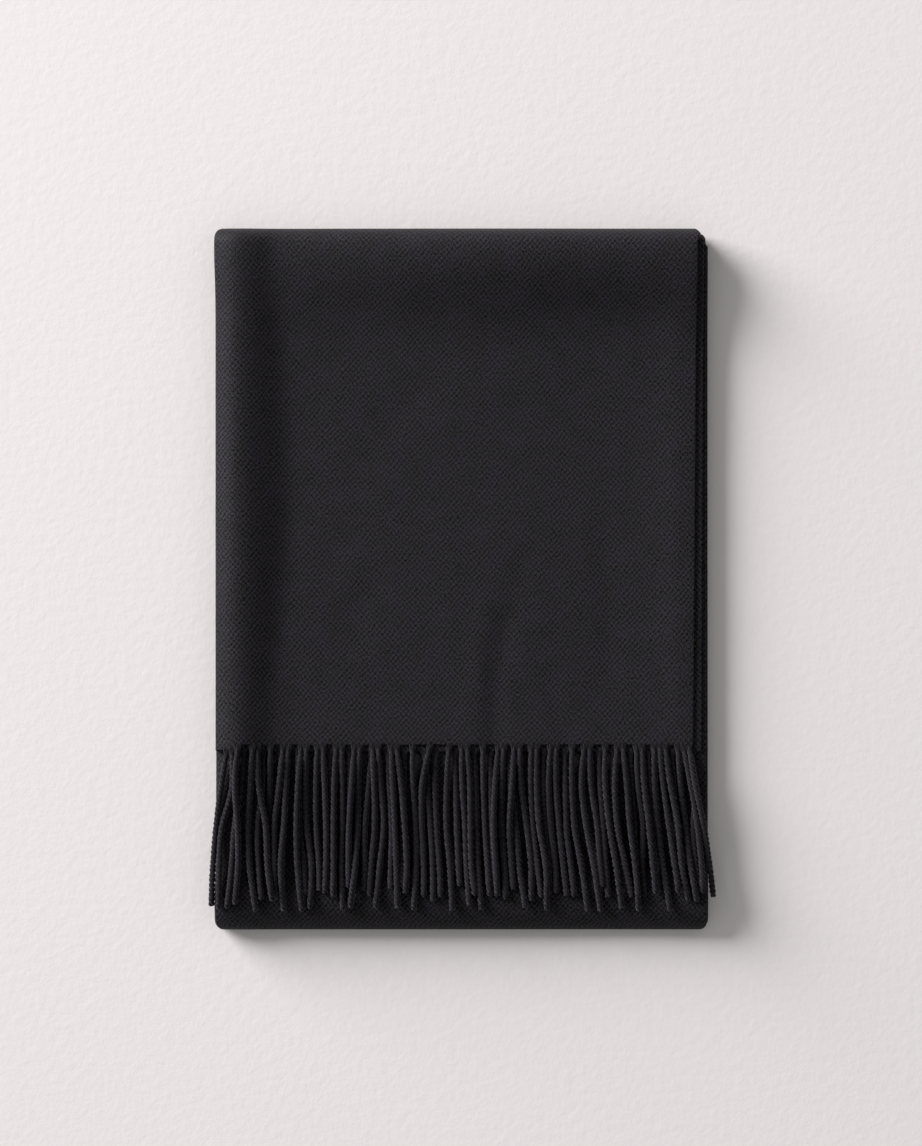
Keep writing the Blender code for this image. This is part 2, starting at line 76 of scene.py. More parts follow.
# The cloth
PLY = 1.7                     # wall of one ply with its nap
GAP = 0.35                    # air between plies, and between pieces at a seam
PITCH = PLY + GAP
HALF_PAIR = PITCH / 2         # from the middle of a pair of plies to either ply
EDGE_RADIUS = PLY / 2

# Heights of the middle of each pair of plies
UNDER_Z = PLY + GAP / 2
HIDDEN_Z = UNDER_Z + 2 * PITCH
LOWER_Z = HIDDEN_Z + 2 * PITCH
TOP_Z = LOWER_Z + 2 * PITCH
FLOOR_PLY_Z = UNDER_Z - HALF_PAIR
TOP_PLY_Z = TOP_Z + HALF_PAIR

# The left edge bulges beside both cross folds, and lower layers draw back from it in waves
EDGE_SWELL = 0.9
EDGE_SWELL_AT = 236.0
EDGE_SWELL_REACH = 24.0
LAYER_SHIFT = 0.9
Wave = namedtuple("Wave", "size share turn")
LAYER_WAVES = (Wave(37.0, 0.32, 1.0), Wave(15.0, 0.18, 2.3))
CORNER_RADIUS = 4.2           # in plan, where the cloth goes round a cross fold

# Cross folds: how far each runs out beyond a round one, and the slack of its inner ply
FAR_FOLD_REACH = 3.0
FAR_FOLD_SLACK = 2.0
NEAR_FOLD_REACH = 7.0
INNER_FOLD_FAR = 240.7
HIDDEN_END = -238.5

# Each roll: how far from its edge it is highest, how wide its slope is, and the share of its
# height that is left at the very edge
LEFT_ROLL_CREST = 16.0
LEFT_ROLL_WIDTH = 40.0
LEFT_ROLL_EDGE = 0.2
LEFT_ROLL_FULL_TO = 60.0      # nearer than this it gets lower and narrower, to the hem
LEFT_ROLL_LOST = 0.28
LEFT_ROLL_WIDTH_LOST = 10.0
FAR_ROLL_CREST = 18.0
FAR_ROLL_WIDTH = 84.0
FAR_ROLL_EDGE = 0.72
FAR_ROLL_TAIL = 1.8           # it falls off fast at first and then slowly
FAR_ROLL_REACH = 150.0        # a share of it reaches further over the top
FAR_ROLL_LONG_SHARE = 0.16
FAR_ROLL_CENTRE = 55.0        # it is fullest here, and lower to both sides
FAR_ROLL_SPREAD = 230.0
NEAR_ROLL_CREST = 24.0
NEAR_ROLL_WIDTH = 32.0
NEAR_ROLL_EDGE = 0.0
DISH_CENTRE = 115.0
DISH_LEFT = 120.0
DISH_RIGHT = 55.0

# Hems of the fringed end. The upper one dips at its left end and waves a little
UPPER_HEM = -118.2
LOWER_HEM = -123.2
HEM_DIP = 3.4
HEM_DIP_FROM = -158.0
HEM_DIP_TO = -167.0
HEM_RUN_FROM = -70.0          # from here on the rows turn to the line of the hems
HEM_WAVES = (Wave(5.3, 0.25, 0.0), Wave(3.1, 0.2, 1.0))

# Selvedges on the right, outer and inner ply, at the turning points of the cloth
Selvedge = namedtuple("Selvedge", "outer inner")
SEAM_EDGE = Selvedge(outer=174.6, inner=173.8)
INNER_FOLD_EDGE = Selvedge(outer=173.8, inner=174.9)
NEAR_FOLD_EDGE = Selvedge(outer=174.2, inner=175.2)
UNDER_EDGE = Selvedge(outer=172.4, inner=174.0)
FAR_FOLD_EDGE = Selvedge(outer=167.2, inner=171.8)
HEM_EDGE = Selvedge(outer=164.6, inner=170.4)

# Creases of the cloth, as soft troughs from one point to another: half their width, and depth,
# which is negative for a ridge
Crease = namedtuple("Crease", "x y to_x to_y width depth")
TOP_CREASES = (
    Crease(45.0, 17.0, 33.0, -28.0, 7.0, 0.6),
    Crease(33.0, -28.0, 24.5, -62.0, 7.5, 1.0),
    Crease(24.5, -62.0, 23.5, -118.0, 7.5, 1.1),
    Crease(16.0, -20.0, 6.0, -118.0, 8.5, -0.55),
    Crease(-18.0, 150.0, -48.0, 112.0, 8.0, 0.6),
    Crease(-48.0, 112.0, -72.0, 84.0, 9.0, 0.35),
    Crease(-66.0, -4.0, -80.0, -44.0, 9.0, 0.6),
    Crease(102.0, 38.0, 104.0, -74.0, 9.0, 0.6),
    Crease(-2.0, 36.0, 2.0, 20.0, 10.0, 0.5),
    Crease(152.0, 190.0, 152.0, -110.0, 7.0, -0.55),
    Crease(-30.0, 92.0, 40.0, 74.0, 14.0, 0.4),
    Crease(-118.0, 60.0, -126.0, -20.0, 11.0, 0.5),
    Crease(-121.0, -50.0, -118.0, -116.0, 8.0, 0.45),
    Crease(60.0, 196.0, 132.0, 188.0, 12.0, 0.45),
    Crease(-12.0, 190.0, 30.0, 168.0, 11.0, 0.4),
    Crease(64.0, -70.0, 70.0, -117.0, 7.0, 0.4),
)
# Unevenness between the creases: its size and depth, and the share of each finer size in it
UNEVEN_SIZE = 34.0
UNEVEN_DEPTH = 0.44
UNEVEN_SHARES = ((1.0, 1.0), (2.0, 0.5), (3.4, 0.26))
UNEVEN_LEVEL = 7.0

# Spacing of the shell's points, where the cloth shows and where it hardly does
STATION = 4.4
HIDDEN_STATION = 8.0
EDGE_TURNS = (0.0, 0.125, 0.25, 0.375, 0.5)
SIDE_FOLD_RADIUS = 1.15
SIDE_FOLD_STEPS = 8
FOLD_ARC = 1.3
FOLD_LEAST_STEPS = 10
SHOWN_MARGIN = 6.0            # how far behind the hem the lower stretch is still fine

# Where the first row of each stretch lies on the cloth's own map, about from the fringed hem
TOP_FROM = 395.0
LOWER_FROM = 1430.0
HIDDEN_FROM = 1905.0

# The fringe
STRIP_DEPTH = 2.6             # the strip of fused roots on the solid
STRIP_MARGIN = 2.0
CORD_DIAMETER = 4.4
CORD_PACKING = 4.0            # cords nearer than this rest on each other
CORD_RISE = 3.7               # how much higher a cord is that lies right over another
CORD_STEP = 4.0               # distance along the cords between the lines they rest at
QUARTERS = (28.0, 57.0, 86.0)  # distances below the hem that the drifts are given at
EDGE_DROOP_FROM = 176.0
EDGE_DROOP = 1.4              # droop past the packet's side, for each millimetre out
SETTLING = 24                 # rounds of smoothing for a cord's height
NECK_LENGTH = 10.0            # length over which the hem's yarns gather into a cord
NECK_STEPS = (0.0, 0.12, 0.28, 0.46, 0.66, 0.85, 1.0)
NECK_TWIST = 0.4              # share of the twist at the hem
NECK_GATHER = 0.45            # share by which the yarns' spread is lost, and how soon
NECK_GATHER_PACE = 1.8
NECK_HOLLOW = 0.6             # how the outer yarns sink beside the middle ones
ROOT_YARNS = 6
ROOT_YARN_SPACING = 0.84
ROOT_YARN_RADIUS = 0.55
ROOT_YARN_RISE = 1.9          # how far they reach back over the cloth
CORD_TURN = 2.4               # angle between the twists of cords side by side
UNEVEN_TWIST = 0.9
UNEVEN_CORD = 0.16
UNEVEN_CORD_SIZE = 11.0
TIP_LEAST = 0.3               # share of a ply's radius that its blunt ends keep

# One row for each cord: where its root is on the hem, how far it has drifted to the right
# at each quarter and at its tip, how far it reaches below its hem, and whether it is laid last
Cord = namedtuple("Cord", "root first second third tip reach lay", defaults=(0,))
UPPER_CORDS = (
    Cord(-167.6, -4.5, -8.2, -10.4, -11.1, 111, 1),
    Cord(-163.8, -0.2, -7.6, -9.4, -9.7, 114),
    Cord(-160.0, -1.8, 0.0, 0.4, -2.1, 113),
    Cord(-149.5, -1.2, -3.0, -1.9, 2.7, 118),
    Cord(-145.8, 0.8, 5.8, 7.2, 10.8, 110, 1),
    Cord(-136.8, -0.3, -1.2, 0.4, 0.4, 102),
    Cord(-127.8, -2.6, -6.1, -6.0, -6.0, 107),
    Cord(-124.0, -1.7, -3.1, -5.3, -3.1, 118, 1),
    Cord(-115.0, -2.1, -3.2, -2.5, 1.1, 118, 1),
    Cord(-111.3, -0.5, 0.2, 3.8, 2.7, 116, 1),
    Cord(-103.4, -0.9, -0.7, 1.3, 1.6, 103),
    Cord(-99.3, 1.1, 2.2, 2.2, 1.4, 105),
    Cord(-90.0, -1.4, -1.8, -1.8, -1.8, 108),
    Cord(-86.0, 0.6, 0.7, 0.0, 1.0, 117),
    Cord(-77.0, -1.9, -3.7, -4.1, -3.7, 101),
    Cord(-73.2, -1.1, -1.4, -3.2, -6.8, 116),
    Cord(-64.2, 1.3, 1.7, -0.8, -1.9, 107, 1),
    Cord(-60.3, 2.1, 4.2, 1.4, -1.5, 116),
    Cord(-51.0, 1.4, 2.8, 3.9, 4.9, 116, 1),
    Cord(-47.0, 3.4, 5.9, 7.4, 6.3, 105),
    Cord(-35.7, 0.7, 2.5, 2.8, 1.1, 117),
    Cord(-23.2, -5.4, -5.7, -4.3, -4.3, 108, 1),
    Cord(-9.6, -1.5, -1.8, 0.7, 2.5, 117),
    Cord(-0.6, 0.6, 2.4, 3.5, 5.6, 114),
    Cord(3.3, 2.1, 2.4, 3.1, 5.6, 107),
    Cord(14.6, 0.4, 1.5, 3.3, 5.0, 107),
    Cord(25.6, -2.4, -3.5, -2.0, -0.6, 107),
    Cord(29.4, -1.2, -1.5, 0.6, 1.3, 109),
    Cord(36.9, -1.5, -3.3, -1.9, -0.5, 103, 1),
    Cord(40.8, 1.0, 4.9, 8.1, 8.1, 111),
    Cord(49.0, -0.1, 1.4, 4.6, 7.1, 108),
    Cord(53.0, -0.1, 1.6, 6.3, 7.0, 117, 1),
    Cord(62.8, -1.4, 0.1, 3.3, 4.0, 105),
    Cord(66.8, 0.0, 2.1, 5.0, 7.5, 107),
    Cord(78.2, 0.0, 1.4, 6.4, 11.1, 118, 1),
    Cord(86.8, -1.8, 1.4, 6.8, 11.8, 118, 1),
    Cord(90.8, 1.0, 5.3, 7.4, 8.8, 100),
    Cord(101.8, 0.0, 2.8, 7.5, 11.8, 116, 1),
    Cord(110.4, -1.8, 0.0, 5.7, 10.3, 108),
    Cord(114.3, 2.8, 5.0, 8.6, 10.7, 108, 1),
    Cord(123.9, 1.5, 5.0, 4.3, 5.0, 107),
    Cord(128.0, 1.6, 4.9, 7.7, 9.9, 105),
    Cord(136.6, 0.5, 2.7, 6.3, 11.3, 118, 1),
    Cord(140.5, 2.7, 6.6, 10.6, 13.4, 105),
    Cord(144.4, 3.8, 9.2, 11.7, 16.3, 110),
    Cord(153.4, 2.3, 5.5, 9.1, 13.4, 111),
    Cord(157.4, 5.4, 10.0, 12.9, 13.7, 105),
    Cord(161.3, 4.6, 10.5, 14.8, 17.3, 108, 1),
)
LOWER_CORDS = (
    Cord(-156.8, -2.1, -5.7, -7.8, -10.7, 111),
    Cord(-142.5, -0.7, -3.4, -2.1, -0.4, 105),
    Cord(-129.6, 0.6, 1.2, 1.0, 1.4, 96),
    Cord(-117.6, 0.8, 1.5, 4.7, 5.8, 101),
    Cord(-94.6, -0.4, 0.4, 0.2, 0.6, 98),
    Cord(-81.0, 0.5, -0.4, 1.2, 1.4, 95),
    Cord(-64.6, -2.5, -5.0, -5.0, -5.4, 98),
    Cord(-53.2, 1.4, 2.8, 2.1, 2.1, 97),
    Cord(-41.6, -0.4, -1.2, -1.6, -1.4, 96),
    Cord(-26.8, 1.8, 4.3, 5.7, 5.7, 106),
    Cord(-18.9, -0.4, 0.7, 2.8, 3.2, 103),
    Cord(-5.4, 0.8, 1.5, 2.9, 3.6, 95),
    Cord(8.2, 1.4, 1.8, 3.2, 5.4, 112),
    Cord(20.0, 0.4, 1.0, 2.2, 2.6, 96),
    Cord(33.4, 1.2, 5.1, 7.6, 11.6, 110),
    Cord(57.8, -0.3, 0.8, 3.4, 4.2, 97),
    Cord(73.2, 0.4, 1.1, 4.7, 6.4, 103),
    Cord(97.5, 1.1, 3.2, 5.0, 6.1, 103),
    Cord(107.0, 0.2, 2.2, 5.2, 8.0, 97),
    Cord(119.6, 0.8, 2.5, 4.3, 5.8, 113),
    Cord(132.8, 0.8, 2.4, 4.6, 6.4, 96),
    Cord(149.4, 1.2, 3.2, 4.8, 6.0, 97),
    Cord(163.2, 2.9, 1.4, 3.6, 4.7, 97),
)

# The camera, straight above, and the plane that the photograph's scale is taken in
VIEW_X = -1.07
VIEW_Y = 4.46
VIEW_LONG_SIDE = 818.0
VIEW_PLANE_Z = 12.0
CAMERA_HEIGHT = 3500.0
SENSOR = 36.0

# The key light and the floor, in metres and degrees
KEY_ELEVATION = 20.5
KEY_AZIMUTH = 35.0            # from the left towards the far side
KEY_DISTANCE = 8.0
KEY_SIZE = 5.2
FLOOR_HALF = 6.0
FLOOR_DROP = 0.0001


def linear_rgb(code):
    """An sRGB hex colour as linear red, green and blue."""
    channels = []
    for place in (0, 2, 4):
        value = int(code[place:place + 2], 16) / 255
        channels.append(value / 12.92 if value <= 0.04045 else ((value + 0.055) / 1.055) ** 2.4)
    return tuple(channels)


def colour(name, description, code):
    return FloatVectorProperty(name=name, description=description, subtype="COLOR",
                               size=3, min=0.0, max=1.0, default=linear_rgb(code))


def length(name, description, millimetres):
    return FloatProperty(name=name, description=description, unit="LENGTH",
                         precision=5, default=millimetres * MM)


class ScarfCloth(bpy.types.PropertyGroup):
    left_roll: length("Left roll", "Height that the stacked lengthwise folds add", 10.2)
    far_roll: length("Far roll", "Height that the far cross fold adds", 15.0)
    near_roll: length("Near roll", "Height that the near cross fold adds", 11.0)
    dish: length("Dish", "Depth of the shallow dish towards the selvedges", 1.8)
    crease_share: FloatProperty(name="Creases", description="Share of the creases' full depth",
                                default=1.0, min=0.0, max=2.0, subtype="FACTOR")
    warp_spacing: length("Warp spacing", "Distance between warp threads, across the scarf", 0.92)
    weft_spacing: length("Weft spacing", "Distance between weft threads, along the scarf", 1.05)
    weave_depth: length("Weave depth", "Depth of the twill's relief", 0.35)
    base: colour("Wool", "Brushed wool of the cloth", "3c3941")
    faded: colour("Greyer wool", "Wool where its dye is greyer", "3b3a3c")
    # painted shade: a near-black that the wool's colour is mixed towards between the threads and in
    # the weave's shaded parts
    hollow_shade: colour("Wool in the hollows", "The same wool between threads", "070607")


class ScarfFringe(bpy.types.PropertyGroup):
    ply_radius: length("Ply radius", "Radius of one ply of a cord", 1.48)
    twist_radius: length("Twist radius", "Distance of a ply from its cord's middle", 0.95)
    lay: length("Lay", "Length of one full turn of a cord", 6.8)
    step: length("Step", "Distance between rings along a ply", 1.1)
    sides: IntProperty(name="Sides", description="Sides of a ply", default=6, min=3, max=12)
    base: colour("Yarn", "Worsted yarn of the cords", "1c1a1f")
    # painted shade: a near-black that the yarn's colour is mixed towards between its strands and in
    # the grooves between plies
    hollow_shade: colour("Yarn in the hollows", "The same yarn between its strands", "0f0e11")
    fuzz: colour("Fuzz", "Light that the yarn's loose fibres catch", "f0eaf4")


class ScarfStage(bpy.types.PropertyGroup):
    floor: colour("Floor", "Pale plaster surface", "ede8e7")
    key_power: FloatProperty(name="Key light", description="Power of the soft key light",
                             default=1230.0, min=0.0, unit="POWER")
    fill: FloatProperty(name="Fill", description="Strength of the even light all round",
                        default=0.35, min=0.0)
    black_point: FloatProperty(name="Black point", description="Light that prints as black",
                               default=0.0010, min=0.0, max=0.1, precision=4)


# Soft relief

def mix(a, b, share):
    return a + (b - a) * share


def ease(value):
    """Smooth step from 0 to 1."""
    value = np.clip(value, 0.0, 1.0)
    return value * value * (3 - 2 * value)


def roll(distance, crest, width, edge, tail=1.0):
    """Height of a soft roll: `edge` at distance 0, 1 at its crest and 0 past its width."""
    distance = np.maximum(distance, 0.0)
    rise = 1 - (1 - edge) * (np.clip(crest - distance, 0.0, None) / crest) ** 2
    fall = 0.5 + 0.5 * np.cos(math.pi * np.clip((distance - crest) / width, 0.0, 1.0))
    return np.where(distance < crest, rise, fall ** tail)


def crease_lift(x, y):
    """The creases: each a soft trough or ridge round its own line, the deepest of them all."""
    troughs, ridges = np.zeros_like(x), np.zeros_like(x)
    for crease in TOP_CREASES:
        way_x, way_y = crease.to_x - crease.x, crease.to_y - crease.y
        share = ((x - crease.x) * way_x + (y - crease.y) * way_y) / (way_x ** 2 + way_y ** 2)
        share = np.clip(share, 0.0, 1.0)
        off_x, off_y = x - crease.x - share * way_x, y - crease.y - share * way_y
        lifts = -crease.depth * np.exp(-(off_x ** 2 + off_y ** 2) / crease.width ** 2)
        troughs, ridges = np.minimum(troughs, lifts), np.maximum(ridges, lifts)
    return troughs + ridges


def uneven(x, y):
    """Slight unevenness of laid cloth. Each finer size is cut from the noise at its own level."""
    flat = np.stack((x.ravel(), y.ravel()), axis=1) / UNEVEN_SIZE
    values = [sum(share * noise.noise(Vector((finer * px, finer * py, UNEVEN_LEVEL * finer)))
                  for finer, share in UNEVEN_SHARES) for px, py in flat]
    return UNEVEN_DEPTH * np.array(values).reshape(x.shape)


def lift(x, y, cloth):
    """How far the top of the packet stands above its flat height."""
    lost = ease((LEFT_ROLL_FULL_TO - y) / (LEFT_ROLL_FULL_TO - UPPER_HEM))
    width = LEFT_ROLL_WIDTH - LEFT_ROLL_WIDTH_LOST * lost
    left = cloth.left_roll / MM * (1 - LEFT_ROLL_LOST * lost)
    left = left * roll(x - LEFT, LEFT_ROLL_CREST, width, LEFT_ROLL_EDGE)
    fullness = np.exp(-((x - FAR_ROLL_CENTRE) / FAR_ROLL_SPREAD) ** 2)
    far = cloth.far_roll / MM * fullness
    short = roll(FAR - y, FAR_ROLL_CREST, FAR_ROLL_WIDTH, FAR_ROLL_EDGE, FAR_ROLL_TAIL)
    long = roll(FAR - y, FAR_ROLL_CREST, FAR_ROLL_REACH, FAR_ROLL_EDGE)
    far = far * mix(short, long, FAR_ROLL_LONG_SHARE)
    near = cloth.near_roll / MM * roll(y - NEAR, NEAR_ROLL_CREST, NEAR_ROLL_WIDTH, NEAR_ROLL_EDGE)
    dish_reach = np.where(x > DISH_CENTRE, DISH_RIGHT, DISH_LEFT)
    across = np.clip(np.abs(x - DISH_CENTRE) / dish_reach, 0.0, 1.0)
    dish = cloth.dish / MM * (0.5 - 0.5 * np.cos(math.pi * across))
    rolls = np.sqrt(left ** 2 + far ** 2 + near ** 2)
    return rolls + dish + cloth.crease_share * crease_lift(x, y) + uneven(x, y)


def lifted(x, y, z, cloth):
    """Height of a point after the relief, which fades with depth to the ply on the floor."""
    depth_share = np.maximum(0.0, z - FLOOR_PLY_Z) / (TOP_PLY_Z - FLOOR_PLY_Z)
    return z + lift(x, y, cloth) * depth_share


def left_edge(y, z):
    """Where the middle of the wall turns at the left, at height z of the pair."""
    swell = EDGE_SWELL * np.exp(-((np.abs(y) - EDGE_SWELL_AT) / EDGE_SWELL_REACH) ** 2)
    depth = (TOP_Z - z) / (TOP_Z - UNDER_Z)
    wave = 0.5 + sum(wave.share * math.sin(y / wave.size + wave.turn * z) for wave in LAYER_WAVES)
    return LEFT + PLY / 2 - swell + LAYER_SHIFT * depth * wave


def upper_hem(x):
    dip = HEM_DIP * ease((HEM_DIP_FROM - x) / (HEM_DIP_FROM - HEM_DIP_TO))
    waves = sum(wave.share * np.sin(x / wave.size + wave.turn) for wave in HEM_WAVES)
    return UPPER_HEM - dip + waves


# The course of the cloth. A row is a point on the middle of the two plies, the way out from
# the packet's inside, how far the inner ply lags behind, its selvedges, how far it is from an
# open end, and the middle and outermost reach of the cross fold that it lies in
Row = namedtuple("Row", "y z out_y out_z slack edge end hem fold_y fold_reach",
                 defaults=(None, 0.0, 0.0, 0.0))


def between(first, last, share):
    return Selvedge(mix(first.outer, last.outer, share), mix(first.inner, last.inner, share))


def rounded_end(backwards=False):
    """Distances from an open end or selvedge at which its rounded edge is shaped."""
    distances = [EDGE_RADIUS * (1 - math.cos(math.pi * turn)) for turn in EDGE_TURNS]
    return distances[::-1] if backwards else distances


def open_end(y, way, z, edge, backwards=False):
    """Rows of an end at y whose outer ply is the lower one. The cloth goes on along `way`."""
    return [Row(y + way * distance, z, 0.0, -1.0, 0.0, edge, distance)
            for distance in rounded_end(backwards)]


def straight_run(first_y, last_y, z, out_z, first_edge, last_edge, station):
    """Rows of a straight run of cloth at height z, without its first one."""
    count = max(1, round(abs(last_y - first_y) / station))
    rows = []
    for step in range(1, count + 1):
        share = step / count
        rows.append(Row(mix(first_y, last_y, share), z, 0.0, out_z, 0.0,
                        between(first_edge, last_edge, share)))
    return rows


def cross_fold(centre_y, centre_z, radius, reach, start, slack, first_edge, last_edge):
    """Rows round a cross fold, half a turn anticlockwise from the angle `start`."""
    long_axis = radius + reach
    steps = max(FOLD_LEAST_STEPS, round(math.pi * long_axis / FOLD_ARC))
    rows = []
    for step in range(steps + 1):
        share = step / steps
        angle = math.radians(start + 180 * share)
        across, up = math.cos(angle), math.sin(angle)
        way_y, way_z = across / long_axis, up / radius
        size = math.hypot(way_y, way_z)
        rows.append(Row(centre_y + long_axis * across, centre_z + radius * up,
                        way_y / size, way_z / size, slack * across * across,
                        between(first_edge, last_edge, share), None, 0.0, centre_y, long_axis))
    return rows


def far_fold_centre():
    return FAR - 3 * PITCH - FAR_FOLD_REACH - HALF_PAIR - PLY / 2


def top_course():
    """The outer far fold and the stretch on top, down to its hems."""
    fold_y = far_fold_centre()
    seam = open_end(fold_y, 1, UNDER_Z, UNDER_EDGE)
    fold = cross_fold(fold_y + EDGE_RADIUS, (UNDER_Z + TOP_Z) / 2, 3 * PITCH,
                      FAR_FOLD_REACH - EDGE_RADIUS, -90, FAR_FOLD_SLACK, UNDER_EDGE, FAR_FOLD_EDGE)
    top_from = fold_y + EDGE_RADIUS
    share = (top_from - HEM_RUN_FROM) / (top_from - UPPER_HEM)
    edge = between(FAR_FOLD_EDGE, HEM_EDGE, share)
    run = straight_run(top_from, HEM_RUN_FROM, TOP_Z, 1.0, FAR_FOLD_EDGE, edge, STATION)
    steps = round((HEM_RUN_FROM - UPPER_HEM) / STATION)
    hem = [Row(HEM_RUN_FROM, TOP_Z, 0.0, 1.0, 0.0, between(edge, HEM_EDGE, step / steps),
               hem=step / steps) for step in range(1, steps + 1)]
    end = [Row(HEM_RUN_FROM, TOP_Z, 0.0, 1.0, 0.0, HEM_EDGE, distance, hem=1.0)
           for distance in rounded_end(backwards=True)[1:]]
    return seam + fold[1:] + run + hem + end


def lower_course():
    """The inner far fold, the stretch under the top one, the near fold and the underside."""
    inner_y = INNER_FOLD_FAR - PITCH - HALF_PAIR - PLY / 2
    near_radius = 2 * PITCH
    near_y = NEAR + near_radius + NEAR_FOLD_REACH + HALF_PAIR + PLY / 2
    seam_y = far_fold_centre() - GAP
    seam = open_end(inner_y - EDGE_RADIUS, 1, HIDDEN_Z, SEAM_EDGE)
    fold = cross_fold(inner_y, (HIDDEN_Z + LOWER_Z) / 2, PITCH, 0.0, -90, 0.0,
                      SEAM_EDGE, INNER_FOLD_EDGE)
    shown_from = LOWER_HEM + SHOWN_MARGIN
    part = (inner_y - shown_from) / (inner_y - near_y)
    part_edge = between(INNER_FOLD_EDGE, NEAR_FOLD_EDGE, part)
    run = straight_run(inner_y, shown_from, LOWER_Z, 1.0, INNER_FOLD_EDGE, part_edge, HIDDEN_STATION)
    run += straight_run(shown_from, near_y, LOWER_Z, 1.0, part_edge, NEAR_FOLD_EDGE, STATION)
    near = cross_fold(near_y, HIDDEN_Z, near_radius, NEAR_FOLD_REACH, 90, 0.0,
                      NEAR_FOLD_EDGE, NEAR_FOLD_EDGE)
    under = straight_run(near_y, seam_y - EDGE_RADIUS, UNDER_Z, -1.0, NEAR_FOLD_EDGE, UNDER_EDGE,
                         HIDDEN_STATION)
    end = open_end(seam_y, -1, UNDER_Z, UNDER_EDGE, backwards=True)
    return seam + fold[1:] + run + near[1:] + under + end[1:]


def hidden_course():
    """The innermost stretch, from its own end to the seam beside the inner far fold."""
    seam_y = INNER_FOLD_FAR - PITCH - HALF_PAIR - PLY / 2 - EDGE_RADIUS - GAP
    first = open_end(HIDDEN_END, 1, HIDDEN_Z, SEAM_EDGE)
    run = straight_run(HIDDEN_END + EDGE_RADIUS, seam_y - EDGE_RADIUS, HIDDEN_Z, -1.0,
                       SEAM_EDGE, SEAM_EDGE, HIDDEN_STATION)
    last = open_end(seam_y, -1, HIDDEN_Z, SEAM_EDGE, backwards=True)
    return first + run + last[1:]


def corner_inset(row, offset):
    """How far a ply's two corners draw in as it goes round a cross fold."""
    if row.fold_reach == 0.0:
        return 0.0
    reach = row.fold_reach + offset
    radius = min(CORNER_RADIUS, reach)
    beyond = abs(row.y + row.out_y * offset - row.fold_y) - (reach - radius)
    beyond = min(max(beyond, 0.0), radius)
    return radius - math.sqrt(max(0.0, radius ** 2 - beyond ** 2))


def section(row, station):
    """Points across both plies from the outer selvedge round the side fold to the inner one.

    Each is x, y, z before the relief, the distance from its selvedge, and the place across the
    flat cloth, which is counted from the side fold.
    """
    inner_offset = -HALF_PAIR - row.slack
    outer_inset, inner_inset = corner_inset(row, HALF_PAIR), corner_inset(row, inner_offset)
    turn = left_edge(row.y, row.z) + SIDE_FOLD_RADIUS
    count = round((UNDER_EDGE.outer - LEFT) / station)
    points = []

    def add(x, offset, inner_share, distance):
        y = row.y
        if row.hem > 0.0:
            hem = mix(upper_hem(x), LOWER_HEM, inner_share) + EDGE_RADIUS
            y = mix(row.y, hem, row.hem)
            if row.end is not None:
                y += row.end - EDGE_RADIUS
        points.append((x, y + row.out_y * offset, row.z + row.out_z * offset, distance))

    def ply(edge, offset, inner_share, inset):
        edge = edge - inset
        left = turn + inset
        stations = [(edge - distance, distance) for distance in rounded_end()]
        for step in range(1, count + 1):
            x = mix(edge - EDGE_RADIUS, left, step / count)
            stations.append((x, EDGE_RADIUS))
        return [(x, offset, inner_share, distance) for x, distance in stations]

    outer = ply(row.edge.outer, HALF_PAIR, 0.0, outer_inset)
    inner = ply(row.edge.inner, inner_offset, 1.0, inner_inset)
    for station_values in outer:
        add(*station_values)
    for step in range(1, SIDE_FOLD_STEPS):
        angle = math.pi * step / SIDE_FOLD_STEPS
        share = 0.5 - 0.5 * math.cos(angle)
        left = turn + mix(outer_inset, inner_inset, share)
        add(left - SIDE_FOLD_RADIUS * math.sin(angle), mix(HALF_PAIR, inner_offset, share),
            share, EDGE_RADIUS)
    for station_values in reversed(inner):
        add(*station_values)
    return points


def wall_share(distance):
    """Thickness of a rounded edge at a distance from it, as a share of the whole wall."""
    inward = np.clip(1 - distance / EDGE_RADIUS, 0.0, 1.0)
    return np.sqrt(1 - inward ** 2)


def along_lengths(points, axis):
    """Running length along an axis of the grid, taken at the middle of the other axis."""
    middle = np.take(points, points.shape[1 - axis] // 4, axis=1 - axis)
    steps = np.linalg.norm(np.diff(middle, axis=0), axis=1)
    return np.concatenate(([0.0], np.cumsum(steps)))


